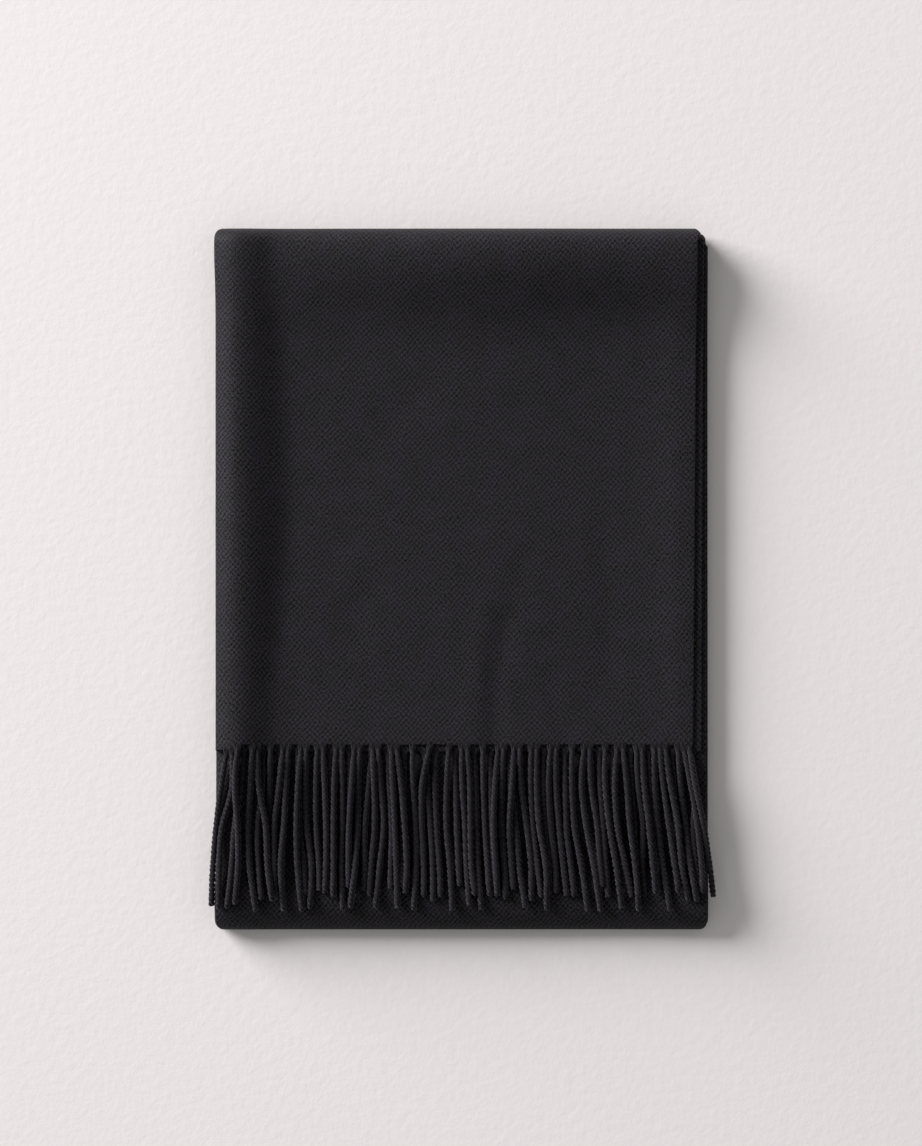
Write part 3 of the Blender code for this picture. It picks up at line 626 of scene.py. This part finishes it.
def cloth_shell(name, course, station, first_length, cloth, material):
    """A closed shell round the plies of a course, with the flat cloth's own map."""
    table = np.array([section(row, station) for row in course])
    middle = table[:, :, :3].copy()
    middle[:, :, 2] = lifted(table[:, :, 0], table[:, :, 1], table[:, :, 2], cloth)
    rows, columns = middle.shape[:2]

    along = np.gradient(middle, axis=0)
    across = np.gradient(middle, axis=1)
    normal = np.cross(along, across)
    normal /= np.linalg.norm(normal, axis=2, keepdims=True)
    ends = np.array([EDGE_RADIUS if row.end is None else row.end for row in course])
    half_wall = PLY / 2 * wall_share(table[:, :, 3]) * wall_share(ends)[:, None]

    steps = np.linalg.norm(np.diff(middle, axis=1), axis=2)
    across_length = np.concatenate((np.zeros((rows, 1)), np.cumsum(steps, axis=1)), axis=1)
    across_length = across_length[:, columns // 2, None] - across_length
    down_length = first_length - along_lengths(middle, 0)

    outer = middle + normal * half_wall[:, :, None]
    inner = middle - normal * half_wall[:, :, None]
    points = list(map(tuple, outer.reshape(-1, 3) * MM))
    place = np.arange(rows * columns).reshape(rows, columns)
    inner_place = place.copy()
    for row in range(1, rows - 1):
        for column in range(1, columns - 1):
            inner_place[row, column] = len(points)
            points.append(tuple(inner[row, column] * MM))
    faces = []
    for row in range(rows - 1):
        for column in range(columns - 1):
            corners = ((row, column), (row + 1, column), (row + 1, column + 1), (row, column + 1))
            faces.append(tuple(int(place[corner]) for corner in corners))
            faces.append(tuple(int(inner_place[corner]) for corner in reversed(corners)))
    mesh = bpy.data.meshes.new(name)
    mesh.from_pydata(points, [], faces)

    flat = np.zeros((len(points), 2))
    flat[place.ravel(), 0] = across_length.ravel() * MM
    flat[place.ravel(), 1] = np.repeat(down_length, columns) * MM
    flat[inner_place.ravel()] = flat[place.ravel()]
    corners = np.zeros(len(mesh.loops), dtype=np.int32)
    mesh.loops.foreach_get("vertex_index", corners)
    mesh.uv_layers.new(name="cloth").data.foreach_set("uv", flat[corners].ravel())
    mesh.shade_smooth()
    mesh.materials.append(material)
    return show(name, mesh)


def show(name, mesh):
    piece = bpy.data.objects.new(name, mesh)
    bpy.context.scene.collection.objects.link(piece)
    return piece


def seat(piece, node):
    """The piece rides on the scarf's one body and stands for its solid."""
    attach(piece, BODY)
    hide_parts(node)


# Laying the cords

def drift(cord, distance):
    """The cord's place across the scarf at a distance below its hem."""
    knots = [(0.0, 0.0), (QUARTERS[0], cord.first), (QUARTERS[1], cord.second),
             (QUARTERS[2], cord.third), (float(cord.reach), cord.tip)]
    slopes = []
    for index in range(len(knots)):
        before = knots[max(0, index - 1)]
        after = knots[min(len(knots) - 1, index + 1)]
        slopes.append((after[1] - before[1]) / (after[0] - before[0]))
    for index in range(len(knots) - 1):
        (start, low), (end, high) = knots[index], knots[index + 1]
        if distance <= end or index == len(knots) - 2:
            size = end - start
            t = min(max((distance - start) / size, 0.0), 1.0)
            return cord.root + (low * (1 + 2 * t) * (1 - t) ** 2 + high * t * t * (3 - 2 * t)
                                + slopes[index] * size * t * (1 - t) ** 2
                                + slopes[index + 1] * size * t * t * (t - 1))


def bed(x, y, cloth):
    """Height of the cloth that a cord lies on, and of the air that it droops into past an edge."""
    over_lower_ply = y > LOWER_HEM - GAP - STRIP_DEPTH - STRIP_MARGIN
    flat = TOP_Z - HALF_PAIR + PLY / 2 if over_lower_ply else LOWER_Z + HALF_PAIR + PLY / 2
    height = float(lifted(np.array([x]), np.array([y]), np.array([flat]), cloth)[0])
    return height - EDGE_DROOP * max(0.0, abs(x) - EDGE_DROOP_FROM)


Laid = namedtuple("Laid", "upper root xs ys zs")


def lay_cords(cloth):
    """Lays the cords one after another, each resting on the cloth or on the cords under it."""
    order = [(cord, LOWER_HEM, False) for cord in LOWER_CORDS]
    order += sorted(((cord, 0.0, True) for cord in UPPER_CORDS), key=lambda entry: entry[0].lay)
    laid = []
    for cord, hem, upper in order:
        hem = float(upper_hem(np.array(cord.root))) if upper else hem
        ply_z = TOP_PLY_Z if upper else TOP_Z - HALF_PAIR
        first_line = math.ceil((UPPER_HEM - hem + NECK_LENGTH / 2) / CORD_STEP)
        last_line = math.floor((UPPER_HEM - hem + cord.reach - CORD_STEP / 3) / CORD_STEP)
        lines = list(range(first_line, last_line + 1))
        ys = [hem] + [UPPER_HEM - CORD_STEP * line for line in lines] + [hem - cord.reach]
        xs = [drift(cord, hem - y) for y in ys]
        root_z = float(lifted(np.array([xs[0]]), np.array([hem]), np.array([ply_z]), cloth)[0])
        need = [root_z]
        for x, y, line in zip(xs[1:], ys[1:], lines + [last_line + 1]):
            lowest = bed(x, y, cloth) + GAP + CORD_DIAMETER / 2
            for other, other_lines in laid:
                if line not in other_lines:
                    continue
                distance = abs(x - other.xs[other_lines[line]])
                if distance < CORD_PACKING:
                    rise = CORD_RISE * math.sqrt(1 - (distance / CORD_PACKING) ** 2)
                    lowest = max(lowest, other.zs[other_lines[line]] + rise)
            need.append(lowest)
        zs = list(need)
        for _ in range(SETTLING):
            for index in range(1, len(zs) - 1):
                zs[index] = max(need[index], (zs[index - 1] + zs[index + 1]) / 2)
        places = {line: index + 1 for index, line in enumerate(lines)}
        laid.append((Laid(upper, hem, xs, ys, zs), places))
    return [one for one, _ in laid]


def strand_paths(name, laid, ply_radius):
    """The strands' middle lines as edges, with what the twisting needs to know at each point."""
    points, edges = [], []
    values = {"plies": [], "fullness": [], "twist": [], "phase": [], "from_root": [], "from_tip": []}

    def add_strand(line, plies, fullness, twist, phase):
        steps = [0.0] + [(Vector(b) - Vector(a)).length for a, b in zip(line, line[1:])]
        reached = np.cumsum(steps)
        first = len(points)
        points.extend(tuple(c * MM for c in point) for point in line)
        values["plies"] += [plies] * len(line)
        values["fullness"] += fullness
        values["twist"] += twist
        values["phase"] += phase
        values["from_root"] += list(reached * MM)
        values["from_tip"] += list((reached[-1] - reached) * MM)
        edges.extend((first + index, first + index + 1) for index in range(len(line) - 1))

    for number, cord in enumerate(laid):
        line = list(zip(cord.xs, cord.ys, cord.zs))
        wander = [noise.noise(Vector((number * 5.3, y / UNEVEN_CORD_SIZE, 0.0))) for y in cord.ys]
        twist = [min(1.0, mix(NECK_TWIST, 1.0, (cord.root - y) / NECK_LENGTH)) for y in cord.ys]
        growth = [share * (1 + UNEVEN_CORD * off) for share, off in zip(twist, wander)]
        phase = [number * CORD_TURN + UNEVEN_TWIST * off for off in wander]
        add_strand(line, 2, growth, twist, phase)
        for yarn in range(ROOT_YARNS):
            beside = yarn - (ROOT_YARNS - 1) / 2
            outward = abs(beside) / ROOT_YARNS * 2
            first_y = cord.root + ROOT_YARN_RISE * (0.5 + 0.5 * math.sin(3 * number + 2 * yarn))
            fan = []
            for share in NECK_STEPS:
                y = mix(first_y, cord.root - NECK_LENGTH, share)
                drawn_in = ease(share)
                x = mix(cord.xs[0], drift_at(cord, y), drawn_in)
                gathered = NECK_GATHER * ease(NECK_GATHER_PACE * share)
                x += beside * ROOT_YARN_SPACING * (1 - gathered)
                sunk = (NECK_HOLLOW - outward) * (1 - NECK_HOLLOW * share)
                on_cord = height_at(cord, y) + CORD_DIAMETER / 2 * sunk
                z = mix(cord.zs[0] + PLY / 2 - ROOT_YARN_RADIUS / 3, on_cord, drawn_in)
                fan.append((float(x), float(y), float(z)))
            yarn_share = ROOT_YARN_RADIUS * MM / ply_radius
            add_strand(fan, 1, [yarn_share] * len(fan), [0.0] * len(fan), [0.0] * len(fan))
    mesh = bpy.data.meshes.new(name)
    mesh.from_pydata(points, edges, [])
    for key, numbers in values.items():
        kind = "INT" if key == "plies" else "FLOAT"
        mesh.attributes.new(key, kind, "POINT").data.foreach_set("value", numbers)
    return show(name, mesh)


def drift_at(cord, y):
    return float(np.interp(-y, [-value for value in cord.ys], cord.xs))


def height_at(cord, y):
    return float(np.interp(-y, [-value for value in cord.ys], cord.zs))


# Node trees

def add_node(tree, kind, inputs=None, **settings):
    """Adds a node with its settings, and fills or links its inputs."""
    node = tree.nodes.new(kind)
    for name, value in settings.items():
        setattr(node, name, value)
    for key, value in (inputs or {}).items():
        if isinstance(value, bpy.types.NodeSocket):
            tree.links.new(value, node.inputs[key])
        else:
            node.inputs[key].default_value = value
    return node


def maths(tree, operation, first, second=0.0):
    return add_node(tree, "ShaderNodeMath", {0: first, 1: second}, operation=operation).outputs[0]


def twisting_tree():
    """Geometry Nodes that turn middle lines into strands of round plies twisted together."""
    tree = bpy.data.node_groups.new("Twisted strands", "GeometryNodeTree")
    calc = partial(maths, tree)
    tree.interface.new_socket("Geometry", in_out="OUTPUT", socket_type="NodeSocketGeometry")
    tree.interface.new_socket("Geometry", in_out="INPUT", socket_type="NodeSocketGeometry")
    for name in ("Ply radius", "Twist radius", "Lay", "Step"):
        tree.interface.new_socket(name, in_out="INPUT", socket_type="NodeSocketFloat")
    tree.interface.new_socket("Sides", in_out="INPUT", socket_type="NodeSocketInt")
    tree.interface.new_socket("Material", in_out="INPUT", socket_type="NodeSocketMaterial")
    given = add_node(tree, "NodeGroupInput").outputs

    def attribute(name, data_type="FLOAT"):
        return add_node(tree, "GeometryNodeInputNamedAttribute", {"Name": name},
                        data_type=data_type).outputs[0]

    def vector_node(operation, first, second):
        return add_node(tree, "ShaderNodeVectorMath", {0: first, 1: second},
                        operation=operation).outputs[0]

    def position():
        return add_node(tree, "GeometryNodeInputPosition").outputs[0]

    def stored(geometry, name, value, data_type="FLOAT_VECTOR"):
        return add_node(tree, "GeometryNodeStoreNamedAttribute",
                        {"Geometry": geometry.outputs[0], "Name": name, "Value": value},
                        data_type=data_type, domain="POINT")

    lines = add_node(tree, "GeometryNodeMeshToCurve", {"Mesh": given["Geometry"]})
    fine = add_node(tree, "GeometryNodeResampleCurve",
                    {"Curve": lines.outputs[0], "Length": given["Step"]}, mode="LENGTH")
    centred = stored(fine, "middle", position())
    plies = add_node(tree, "GeometryNodeDuplicateElements",
                     {"Geometry": centred.outputs[0], "Amount": attribute("plies", "INT")},
                     domain="SPLINE")
    turns = calc("DIVIDE", attribute("from_root"), given["Lay"])
    own_turn = calc("MULTIPLY", plies.outputs["Duplicate Index"], 0.5)
    angle = calc("MULTIPLY", calc("ADD", turns, own_turn), 2 * math.pi)
    angle = calc("ADD", angle, attribute("phase"))

    tangent = add_node(tree, "GeometryNodeInputTangent").outputs[0]
    side = vector_node("CROSS_PRODUCT", tangent, (0.0, 0.0, 1.0))
    side = add_node(tree, "ShaderNodeVectorMath", {0: side}, operation="NORMALIZE").outputs[0]
    up = vector_node("CROSS_PRODUCT", side, tangent)
    reach = calc("MULTIPLY", given["Twist radius"], attribute("twist"))

    def scaled(vector, amount):
        return add_node(tree, "ShaderNodeVectorMath", {0: vector, "Scale": amount},
                        operation="SCALE").outputs[0]

    beside = scaled(side, calc("MULTIPLY", calc("COSINE", angle), reach))
    above = scaled(up, calc("MULTIPLY", calc("SINE", angle), reach))
    twisted = add_node(tree, "GeometryNodeSetPosition",
                       {"Geometry": plies.outputs[0], "Offset": vector_node("ADD", beside, above)})

    to_end = calc("MINIMUM", attribute("from_tip"), attribute("from_root"))
    inward = calc("DIVIDE", to_end, given["Ply radius"])
    inward = calc("SUBTRACT", 1.0, calc("MINIMUM", inward, 1.0))
    round_end = calc("SQRT", calc("SUBTRACT", 1.0, calc("MULTIPLY", inward, inward)))
    round_end = calc("MAXIMUM", round_end, TIP_LEAST)
    radius = calc("MULTIPLY", given["Ply radius"], attribute("fullness"))
    radius = calc("MULTIPLY", radius, round_end)

    circle = add_node(tree, "GeometryNodeCurvePrimitiveCircle",
                      {"Resolution": given["Sides"], "Radius": 1.0})
    ring = stored(circle, "ring", position())
    tube = add_node(tree, "GeometryNodeCurveToMesh",
                    {"Curve": twisted.outputs[0], "Profile Curve": ring.outputs[0],
                     "Scale": radius, "Fill Caps": True})
    real = add_node(tree, "GeometryNodeRealizeInstances", {"Geometry": tube.outputs[0]})
    from_middle = vector_node("SUBTRACT", position(), attribute("middle", "FLOAT_VECTOR"))
    from_middle = add_node(tree, "ShaderNodeVectorMath", {0: from_middle},
                           operation="LENGTH").outputs["Value"]
    whole = calc("ADD", reach, calc("MULTIPLY", given["Ply radius"], attribute("fullness")))
    outward = stored(real, "outward", calc("DIVIDE", from_middle, whole), "FLOAT")
    smooth = add_node(tree, "GeometryNodeSetShadeSmooth", {"Geometry": outward.outputs[0]})
    done = add_node(tree, "GeometryNodeSetMaterial",
                    {"Geometry": smooth.outputs[0], "Material": given["Material"]})
    add_node(tree, "NodeGroupOutput", {"Geometry": done.outputs[0]})
    return tree


def made_by(tree, source, name, values):
    """The plain mesh piece that a tree makes of a source object, which is then removed."""
    maker = source.modifiers.new(tree.name, "NODES")
    maker.node_group = tree
    for item in tree.interface.items_tree:
        if item.in_out == "INPUT" and item.name in values:
            maker[item.identifier] = values[item.name]
    graph = bpy.context.evaluated_depsgraph_get()
    mesh = bpy.data.meshes.new_from_object(source.evaluated_get(graph), depsgraph=graph,
                                           preserve_all_data_layers=True)
    mesh.name = name
    source.modifiers.remove(maker)
    bpy.data.objects.remove(source)
    return show(name, mesh)


# Materials. A shade's row is the middle of its pattern's values and its weight

STRAY_SIZE = 9.0              # size of the patches over which the ribs wander, and how far
STRAY_TURN = 8.0
FLOAT_RELIEF = 0.08
WEAVE_RELIEF = 0.4
NAP_SIZE = 0.9
NAP_STRETCH = (1.0, 0.6, 1.0) # the nap is brushed along the scarf
NAP_DEPTH = 0.2
CLOUD_SIZE = 14.0
CLOUD_GREYEST = 0.35
CLOUD_BLUEST = 0.65
# The rib, counter rib, weave and warp shades paint light and shade into the wool's colour, darkening
# the hollows and the weft floats; the nap and cloud shades are random tone
CLOTH_SHADE = 0.58
RIB_SHADE = (0.0, 0.17)
COUNTER_RIB_SHADE = (0.0, 0.13)
WEAVE_SHADE = (0.7, 0.5)
WARP_SHADE = (0.5, 0.1)
NAP_SHADE = (0.5, 2.0)
CLOUD_SHADE = (0.5, 0.2)
# The strand and groove values paint shade into the yarn's colour, between its strands and between its
# plies
STRANDS = 3.0                 # half the number of strands round a ply
STRAND_LAY = 3.4              # length along a ply in which they shift by two strands
STRAND_SHADE = 0.6
STRAND_DARK = 0.1
STRAND_DEPTH = 0.16
FUZZ_SIZE = 0.9
FUZZ_DEPTH = 0.3
GROOVE_FROM = 0.58            # the groove between plies, from its floor to the open, as a
GROOVE_TO = 0.92              # share of the cord's radius, and the light that is left in it
GROOVE_LIGHT = 0.35
PLASTER_TOOTH = 7.0
PLASTER_CLOUD = 90.0
PLASTER_DEPTH = 0.25
PLASTER_DARK = 0.975


def new_material(name):
    material = bpy.data.materials.new(name)
    material.use_nodes = True
    tree = material.node_tree
    return material, tree, tree.nodes["Principled BSDF"]


def mixed_colour(tree, share, first, second):
    mixer = add_node(tree, "ShaderNodeMix", {0: share, 6: first, 7: second}, data_type="RGBA")
    return mixer.outputs[2]


def noise_of(tree, place, size, **inputs):
    """Noise whose patches are about `size` millimetres wide."""
    inputs = {"Vector": place, "Scale": 1 / (size * MM)} | inputs
    return add_node(tree, "ShaderNodeTexNoise", inputs).outputs


def bump(tree, height, millimetres, normal=None):
    inputs = {"Height": height, "Distance": millimetres * MM, "Strength": 1.0}
    if normal is not None:
        inputs["Normal"] = normal
    return add_node(tree, "ShaderNodeBump", inputs).outputs[0]


def rgba(values):
    return (*values, 1.0)


def twill_height(tree, across, along):
    """Relief of a 2/2 twill from the place in threads, and how much of it is warp.

    Each thread arches over two threads of the other set and dives under the next two.
    """
    calc = partial(maths, tree)
    thread_u = calc("FLOOR", across)
    thread_v = calc("FLOOR", along)
    share_u = calc("SUBTRACT", across, thread_u)
    share_v = calc("SUBTRACT", along, thread_v)

    def arch(place, thread, shift):
        turn = calc("MULTIPLY", calc("SUBTRACT", place, thread), math.pi / 2)
        return calc("SINE", calc("ADD", turn, shift))

    def round_thread(share):
        across_it = calc("SINE", calc("MULTIPLY", share, math.pi))
        return calc("ADD", 0.45, calc("MULTIPLY", across_it, 0.55))

    warp = calc("MULTIPLY", arch(along, thread_u, 0.0), round_thread(share_u))
    weft = calc("MULTIPLY", arch(across, thread_v, -math.pi / 2), round_thread(share_v))
    height = calc("MAXIMUM", calc("MAXIMUM", warp, weft), 0.0)
    warp_share = calc("GREATER_THAN", warp, weft)
    return height, warp_share


def wool_twill(cloth):
    """Woven wool, brushed and pressed: charcoal, nearly matt, with fine diagonal ribs.

    The nap blurs the ribs, and the low light alone shows the cloth's rolls and creases. Light and
    shade of the threads, their hollows, the ribs and the weft floats are painted into its colour; the
    nap and the clouds vary the tone at random.
    """
    material, tree, shader = new_material("wool_twill_brushed")
    calc = partial(maths, tree)
    flat = add_node(tree, "ShaderNodeUVMap", uv_map="cloth").outputs[0]
    place = add_node(tree, "ShaderNodeSeparateXYZ", {0: flat})
    across = calc("DIVIDE", place.outputs[0], cloth.warp_spacing)
    along = calc("DIVIDE", place.outputs[1], cloth.weft_spacing)
    weave, warp_share = twill_height(tree, across, along)
    stray = noise_of(tree, flat, STRAY_SIZE)[1]
    stray = add_node(tree, "ShaderNodeSeparateXYZ", {0: stray}).outputs

    def floats(second, wander):
        """Rise and fall of the floats, 4 threads apart, along one diagonal of the weave, for their
        relief and for their painted light and shade.
        """
        turn = calc("MULTIPLY", calc(second, across, along), math.pi / 2)
        wander = calc("MULTIPLY", wander, STRAY_TURN)
        return calc("SINE", calc("ADD", turn, wander))

    ribs = floats("SUBTRACT", stray[0])
    counter_ribs = floats("ADD", stray[1])
    relief = calc("ADD", calc("MULTIPLY", ribs, FLOAT_RELIEF),
                   calc("MULTIPLY", counter_ribs, FLOAT_RELIEF))
    relief = calc("ADD", relief, calc("MULTIPLY", weave, WEAVE_RELIEF))
    brushed = add_node(tree, "ShaderNodeMapping", {"Vector": flat, "Scale": NAP_STRETCH}).outputs[0]
    nap = noise_of(tree, brushed, NAP_SIZE, Detail=3.0)[0]
    cloud = noise_of(tree, flat, CLOUD_SIZE, Detail=3.0)[0]

    # Painted light and shade of the weave, with random tone from the nap and the clouds
    painted_shade_and_tone = CLOTH_SHADE
    for value, (middle, weight) in ((ribs, RIB_SHADE), (counter_ribs, COUNTER_RIB_SHADE),
                                    (weave, WEAVE_SHADE), (warp_share, WARP_SHADE),
                                    (nap, NAP_SHADE), (cloud, CLOUD_SHADE)):
        part = calc("MULTIPLY", calc("SUBTRACT", value, middle), weight)
        painted_shade_and_tone = calc("ADD", painted_shade_and_tone, part)
    tint = add_node(tree, "ShaderNodeMapRange", {"Value": cloud, "From Min": CLOUD_GREYEST,
                                                "From Max": CLOUD_BLUEST}).outputs[0]
    dyed = mixed_colour(tree, tint, rgba(cloth.faded), rgba(cloth.base))
    wool = mixed_colour(tree, painted_shade_and_tone, rgba(cloth.hollow_shade), dyed)
    tree.links.new(wool, shader.inputs["Base Color"])
    shader.inputs["Roughness"].default_value = 0.48
    shader.inputs["Specular IOR Level"].default_value = 0.08
    shader.inputs["Sheen Weight"].default_value = 0.0
    woven = bump(tree, relief, cloth.weave_depth / MM)
    fibres = bump(tree, nap, NAP_DEPTH, normal=woven)
    tree.links.new(fibres, shader.inputs["Normal"])
    return material


def worsted_yarn(fringe):
    """Worsted wool yarn, plied and twisted: charcoal, nearly matt, with loose pale fuzz.

    Each ply shows the twist of its own strands in its bump and as painted shade in its colour, and
    the grooves between plies are painted darker as shade; the fuzz varies the tone at random.
    """
    material, tree, shader = new_material("worsted_yarn_twisted")
    calc = partial(maths, tree)
    ring = add_node(tree, "ShaderNodeAttribute", attribute_name="ring")
    around = add_node(tree, "ShaderNodeSeparateXYZ", {0: ring.outputs["Vector"]})
    angle = calc("ARCTAN2", around.outputs[1], around.outputs[0])
    run = add_node(tree, "ShaderNodeAttribute", attribute_name="from_root").outputs["Fac"]
    strand_turn = calc("MULTIPLY", run, 2 * math.pi / (STRAND_LAY * MM))
    strands = calc("ADD", calc("MULTIPLY", angle, STRANDS), strand_turn)
    strands = calc("ABSOLUTE", calc("SINE", strands))
    places = add_node(tree, "ShaderNodeTexCoord").outputs["Object"]
    fuzz = noise_of(tree, places, FUZZ_SIZE, Detail=3.0)[0]
    outward = add_node(tree, "ShaderNodeAttribute", attribute_name="outward").outputs["Fac"]
    groove_shade = add_node(tree, "ShaderNodeMapRange",
                          {"Value": outward, "From Min": GROOVE_FROM, "From Max": GROOVE_TO,
                           "To Min": GROOVE_LIGHT}).outputs[0]
    # Painted shade of the strands and of the groove between plies, with random tone from the fuzz
    painted_shade_and_tone = calc("ADD", calc("MULTIPLY", strands, STRAND_SHADE), fuzz)
    painted_shade_and_tone = calc("MULTIPLY", calc("SUBTRACT", painted_shade_and_tone, STRAND_DARK), groove_shade)
    yarn = mixed_colour(tree, painted_shade_and_tone, rgba(fringe.hollow_shade), rgba(fringe.base))
    tree.links.new(yarn, shader.inputs["Base Color"])
    shader.inputs["Roughness"].default_value = 0.6
    shader.inputs["Specular IOR Level"].default_value = 0.06
    shader.inputs["Sheen Weight"].default_value = 0.2
    shader.inputs["Sheen Tint"].default_value = rgba(fringe.fuzz)
    shader.inputs["Sheen Roughness"].default_value = 0.5
    grooves = bump(tree, strands, STRAND_DEPTH)
    fibres = bump(tree, fuzz, FUZZ_DEPTH, normal=grooves)
    tree.links.new(fibres, shader.inputs["Normal"])
    return material


def plaster(stage):
    """Smooth plaster: pale and matt, with a faint uneven tooth."""
    material, tree, shader = new_material("plaster_smooth")
    calc = partial(maths, tree)
    places = add_node(tree, "ShaderNodeTexCoord").outputs["Object"]
    tooth = noise_of(tree, places, PLASTER_TOOTH, Detail=5.0, Roughness=0.62)[0]
    broad = noise_of(tree, places, PLASTER_CLOUD)[0]
    darker = tuple(channel * PLASTER_DARK for channel in stage.floor)
    tone = calc("ADD", calc("MULTIPLY", tooth, 0.5), calc("MULTIPLY", broad, 0.5))
    paint = mixed_colour(tree, tone, rgba(darker), rgba(stage.floor))
    tree.links.new(paint, shader.inputs["Base Color"])
    shader.inputs["Roughness"].default_value = 0.9
    shader.inputs["Specular IOR Level"].default_value = 0.2
    tree.links.new(bump(tree, tooth, PLASTER_DEPTH), shader.inputs["Normal"])
    return material


def shared_material(name, make, settings):
    return bpy.data.materials.get(name) or make(settings)


# Operators

def stretch(context, name, course, station, length_from):
    """The cloth of one stretch, in the material that all stretches share."""
    cloth = context.scene.scarf_cloth
    wool = shared_material("wool_twill_brushed", wool_twill, cloth)
    return cloth_shell(name, course, station, length_from, cloth, wool)


class SCARF_OT_top_stretch(bpy.types.Operator):
    """Make the outer far fold and the stretch that lies on top"""
    bl_idname = "scarf.top_stretch"
    bl_label = "Top stretch"

    def execute(self, context):
        piece = stretch(context, "top_stretch_cloth", top_course(), STATION, TOP_FROM)
        seat(piece, "top_stretch")
        return {"FINISHED"}


class SCARF_OT_lower_stretch(bpy.types.Operator):
    """Make the stretch under the top one, the near fold and the underside"""
    bl_idname = "scarf.lower_stretch"
    bl_label = "Lower stretch"

    def execute(self, context):
        piece = stretch(context, "lower_stretch_cloth", lower_course(), STATION, LOWER_FROM)
        seat(piece, "lower_stretch")
        return {"FINISHED"}


class SCARF_OT_hidden_stretch(bpy.types.Operator):
    """Make the innermost stretch"""
    bl_idname = "scarf.hidden_stretch"
    bl_label = "Hidden stretch"

    def execute(self, context):
        piece = stretch(context, "hidden_stretch_cloth", hidden_course(), HIDDEN_STATION, HIDDEN_FROM)
        seat(piece, "hidden_layers")
        return {"FINISHED"}


class SCARF_OT_fringes(bpy.types.Operator):
    """Twist and lay the cords of both hems"""
    bl_idname = "scarf.fringes"
    bl_label = "Fringes"

    def execute(self, context):
        cloth, fringe = context.scene.scarf_cloth, context.scene.scarf_fringe
        yarn = shared_material("worsted_yarn_twisted", worsted_yarn, fringe)
        tree = twisting_tree()
        laid = lay_cords(cloth)
        values = {"Ply radius": fringe.ply_radius, "Twist radius": fringe.twist_radius,
                  "Lay": fringe.lay, "Step": fringe.step, "Sides": fringe.sides, "Material": yarn}
        for name, node, upper in (("upper_fringe_cords", "fringe_upper", True),
                                  ("lower_fringe_cords", "fringe_lower", False)):
            chosen = [cord for cord in laid if cord.upper == upper]
            paths = strand_paths(name + "_lines", chosen, fringe.ply_radius)
            piece = made_by(tree, paths, name, values)
            seat(piece, node)
        return {"FINISHED"}


class SCARF_OT_stage(bpy.types.Operator):
    """Set the floor, the light and the camera"""
    bl_idname = "scarf.stage"
    bl_label = "Stage"

    def execute(self, context):
        scene, stage = context.scene, context.scene.scarf_stage
        floor = show("floor", bpy.data.meshes.new("floor"))
        corners = ((-1, -1), (1, -1), (1, 1), (-1, 1))
        floor.data.from_pydata([(x * FLOOR_HALF, y * FLOOR_HALF, 0.0) for x, y in corners],
                               [], [(0, 1, 2, 3)])
        floor.location.z = -FLOOR_DROP
        floor.data.materials.append(plaster(stage))
        add_softbox(stage)
        add_camera(scene)
        world = bpy.data.worlds.new("room")
        world.use_nodes = True
        back = world.node_tree.nodes["Background"]
        back.inputs["Color"].default_value = (1.0, 1.0, 1.0, 1.0)
        back.inputs["Strength"].default_value = stage.fill
        world.cycles_visibility.glossy = False
        scene.world = world
        view = scene.view_settings
        view.view_transform = "Standard"
        view.use_curve_mapping = True
        view.curve_mapping.black_level = (stage.black_point,) * 3
        view.curve_mapping.update()
        return {"FINISHED"}


def add_softbox(stage):
    """One large soft light from the upper left."""
    light = bpy.data.lights.new("softbox", "AREA")
    light.shape = "DISK"
    light.size = KEY_SIZE
    light.energy = stage.key_power
    lamp = bpy.data.objects.new("softbox", light)
    bpy.context.scene.collection.objects.link(lamp)
    up, round_ = math.radians(KEY_ELEVATION), math.radians(KEY_AZIMUTH)
    way = Vector((-math.cos(up) * math.cos(round_), math.cos(up) * math.sin(round_), math.sin(up)))
    lamp.location = way * KEY_DISTANCE
    lamp.rotation_euler = (-way).to_track_quat("-Z", "Y").to_euler()
    lamp.visible_camera = False


def add_camera(scene):
    """Straight above the packet, with a long lens."""
    camera = bpy.data.cameras.new("camera")
    camera.sensor_width = SENSOR
    camera.lens = SENSOR * (CAMERA_HEIGHT - VIEW_PLANE_Z) / VIEW_LONG_SIDE
    stand = bpy.data.objects.new("camera", camera)
    stand.location = (VIEW_X * MM, VIEW_Y * MM, CAMERA_HEIGHT * MM)
    scene.collection.objects.link(stand)
    scene.camera = stand


class SCARF_PT_panel(bpy.types.Panel):
    """The scarf's sizes, colours and makers"""
    bl_idname = "SCARF_PT_panel"
    bl_label = "Folded scarf"
    bl_space_type = "VIEW_3D"
    bl_region_type = "UI"
    bl_category = "Scarf"

    def draw(self, context):
        scene = context.scene
        for settings in (scene.scarf_cloth, scene.scarf_fringe, scene.scarf_stage):
            for name in settings.__annotations__:
                self.layout.prop(settings, name)
        for operator in OPERATORS:
            self.layout.operator(operator.bl_idname)


SETTINGS = (("scarf_cloth", ScarfCloth), ("scarf_fringe", ScarfFringe), ("scarf_stage", ScarfStage))
OPERATORS = (SCARF_OT_hidden_stretch, SCARF_OT_lower_stretch, SCARF_OT_top_stretch,
             SCARF_OT_fringes, SCARF_OT_stage)


def register():
    for name, group in SETTINGS:
        bpy.utils.register_class(group)
        setattr(bpy.types.Scene, name, PointerProperty(type=group))
    for kind in OPERATORS + (SCARF_PT_panel,):
        bpy.utils.register_class(kind)


def unregister():
    for kind in reversed(OPERATORS + (SCARF_PT_panel,)):
        bpy.utils.unregister_class(kind)
    for name, group in SETTINGS:
        delattr(bpy.types.Scene, name)
        bpy.utils.unregister_class(group)


def main():
    register()
    bpy.ops.scarf.hidden_stretch()
    bpy.ops.scarf.lower_stretch()
    bpy.ops.scarf.top_stretch()
    bpy.ops.scarf.fringes()
    bpy.ops.scarf.stage()


if __name__ == "__main__":
    main()
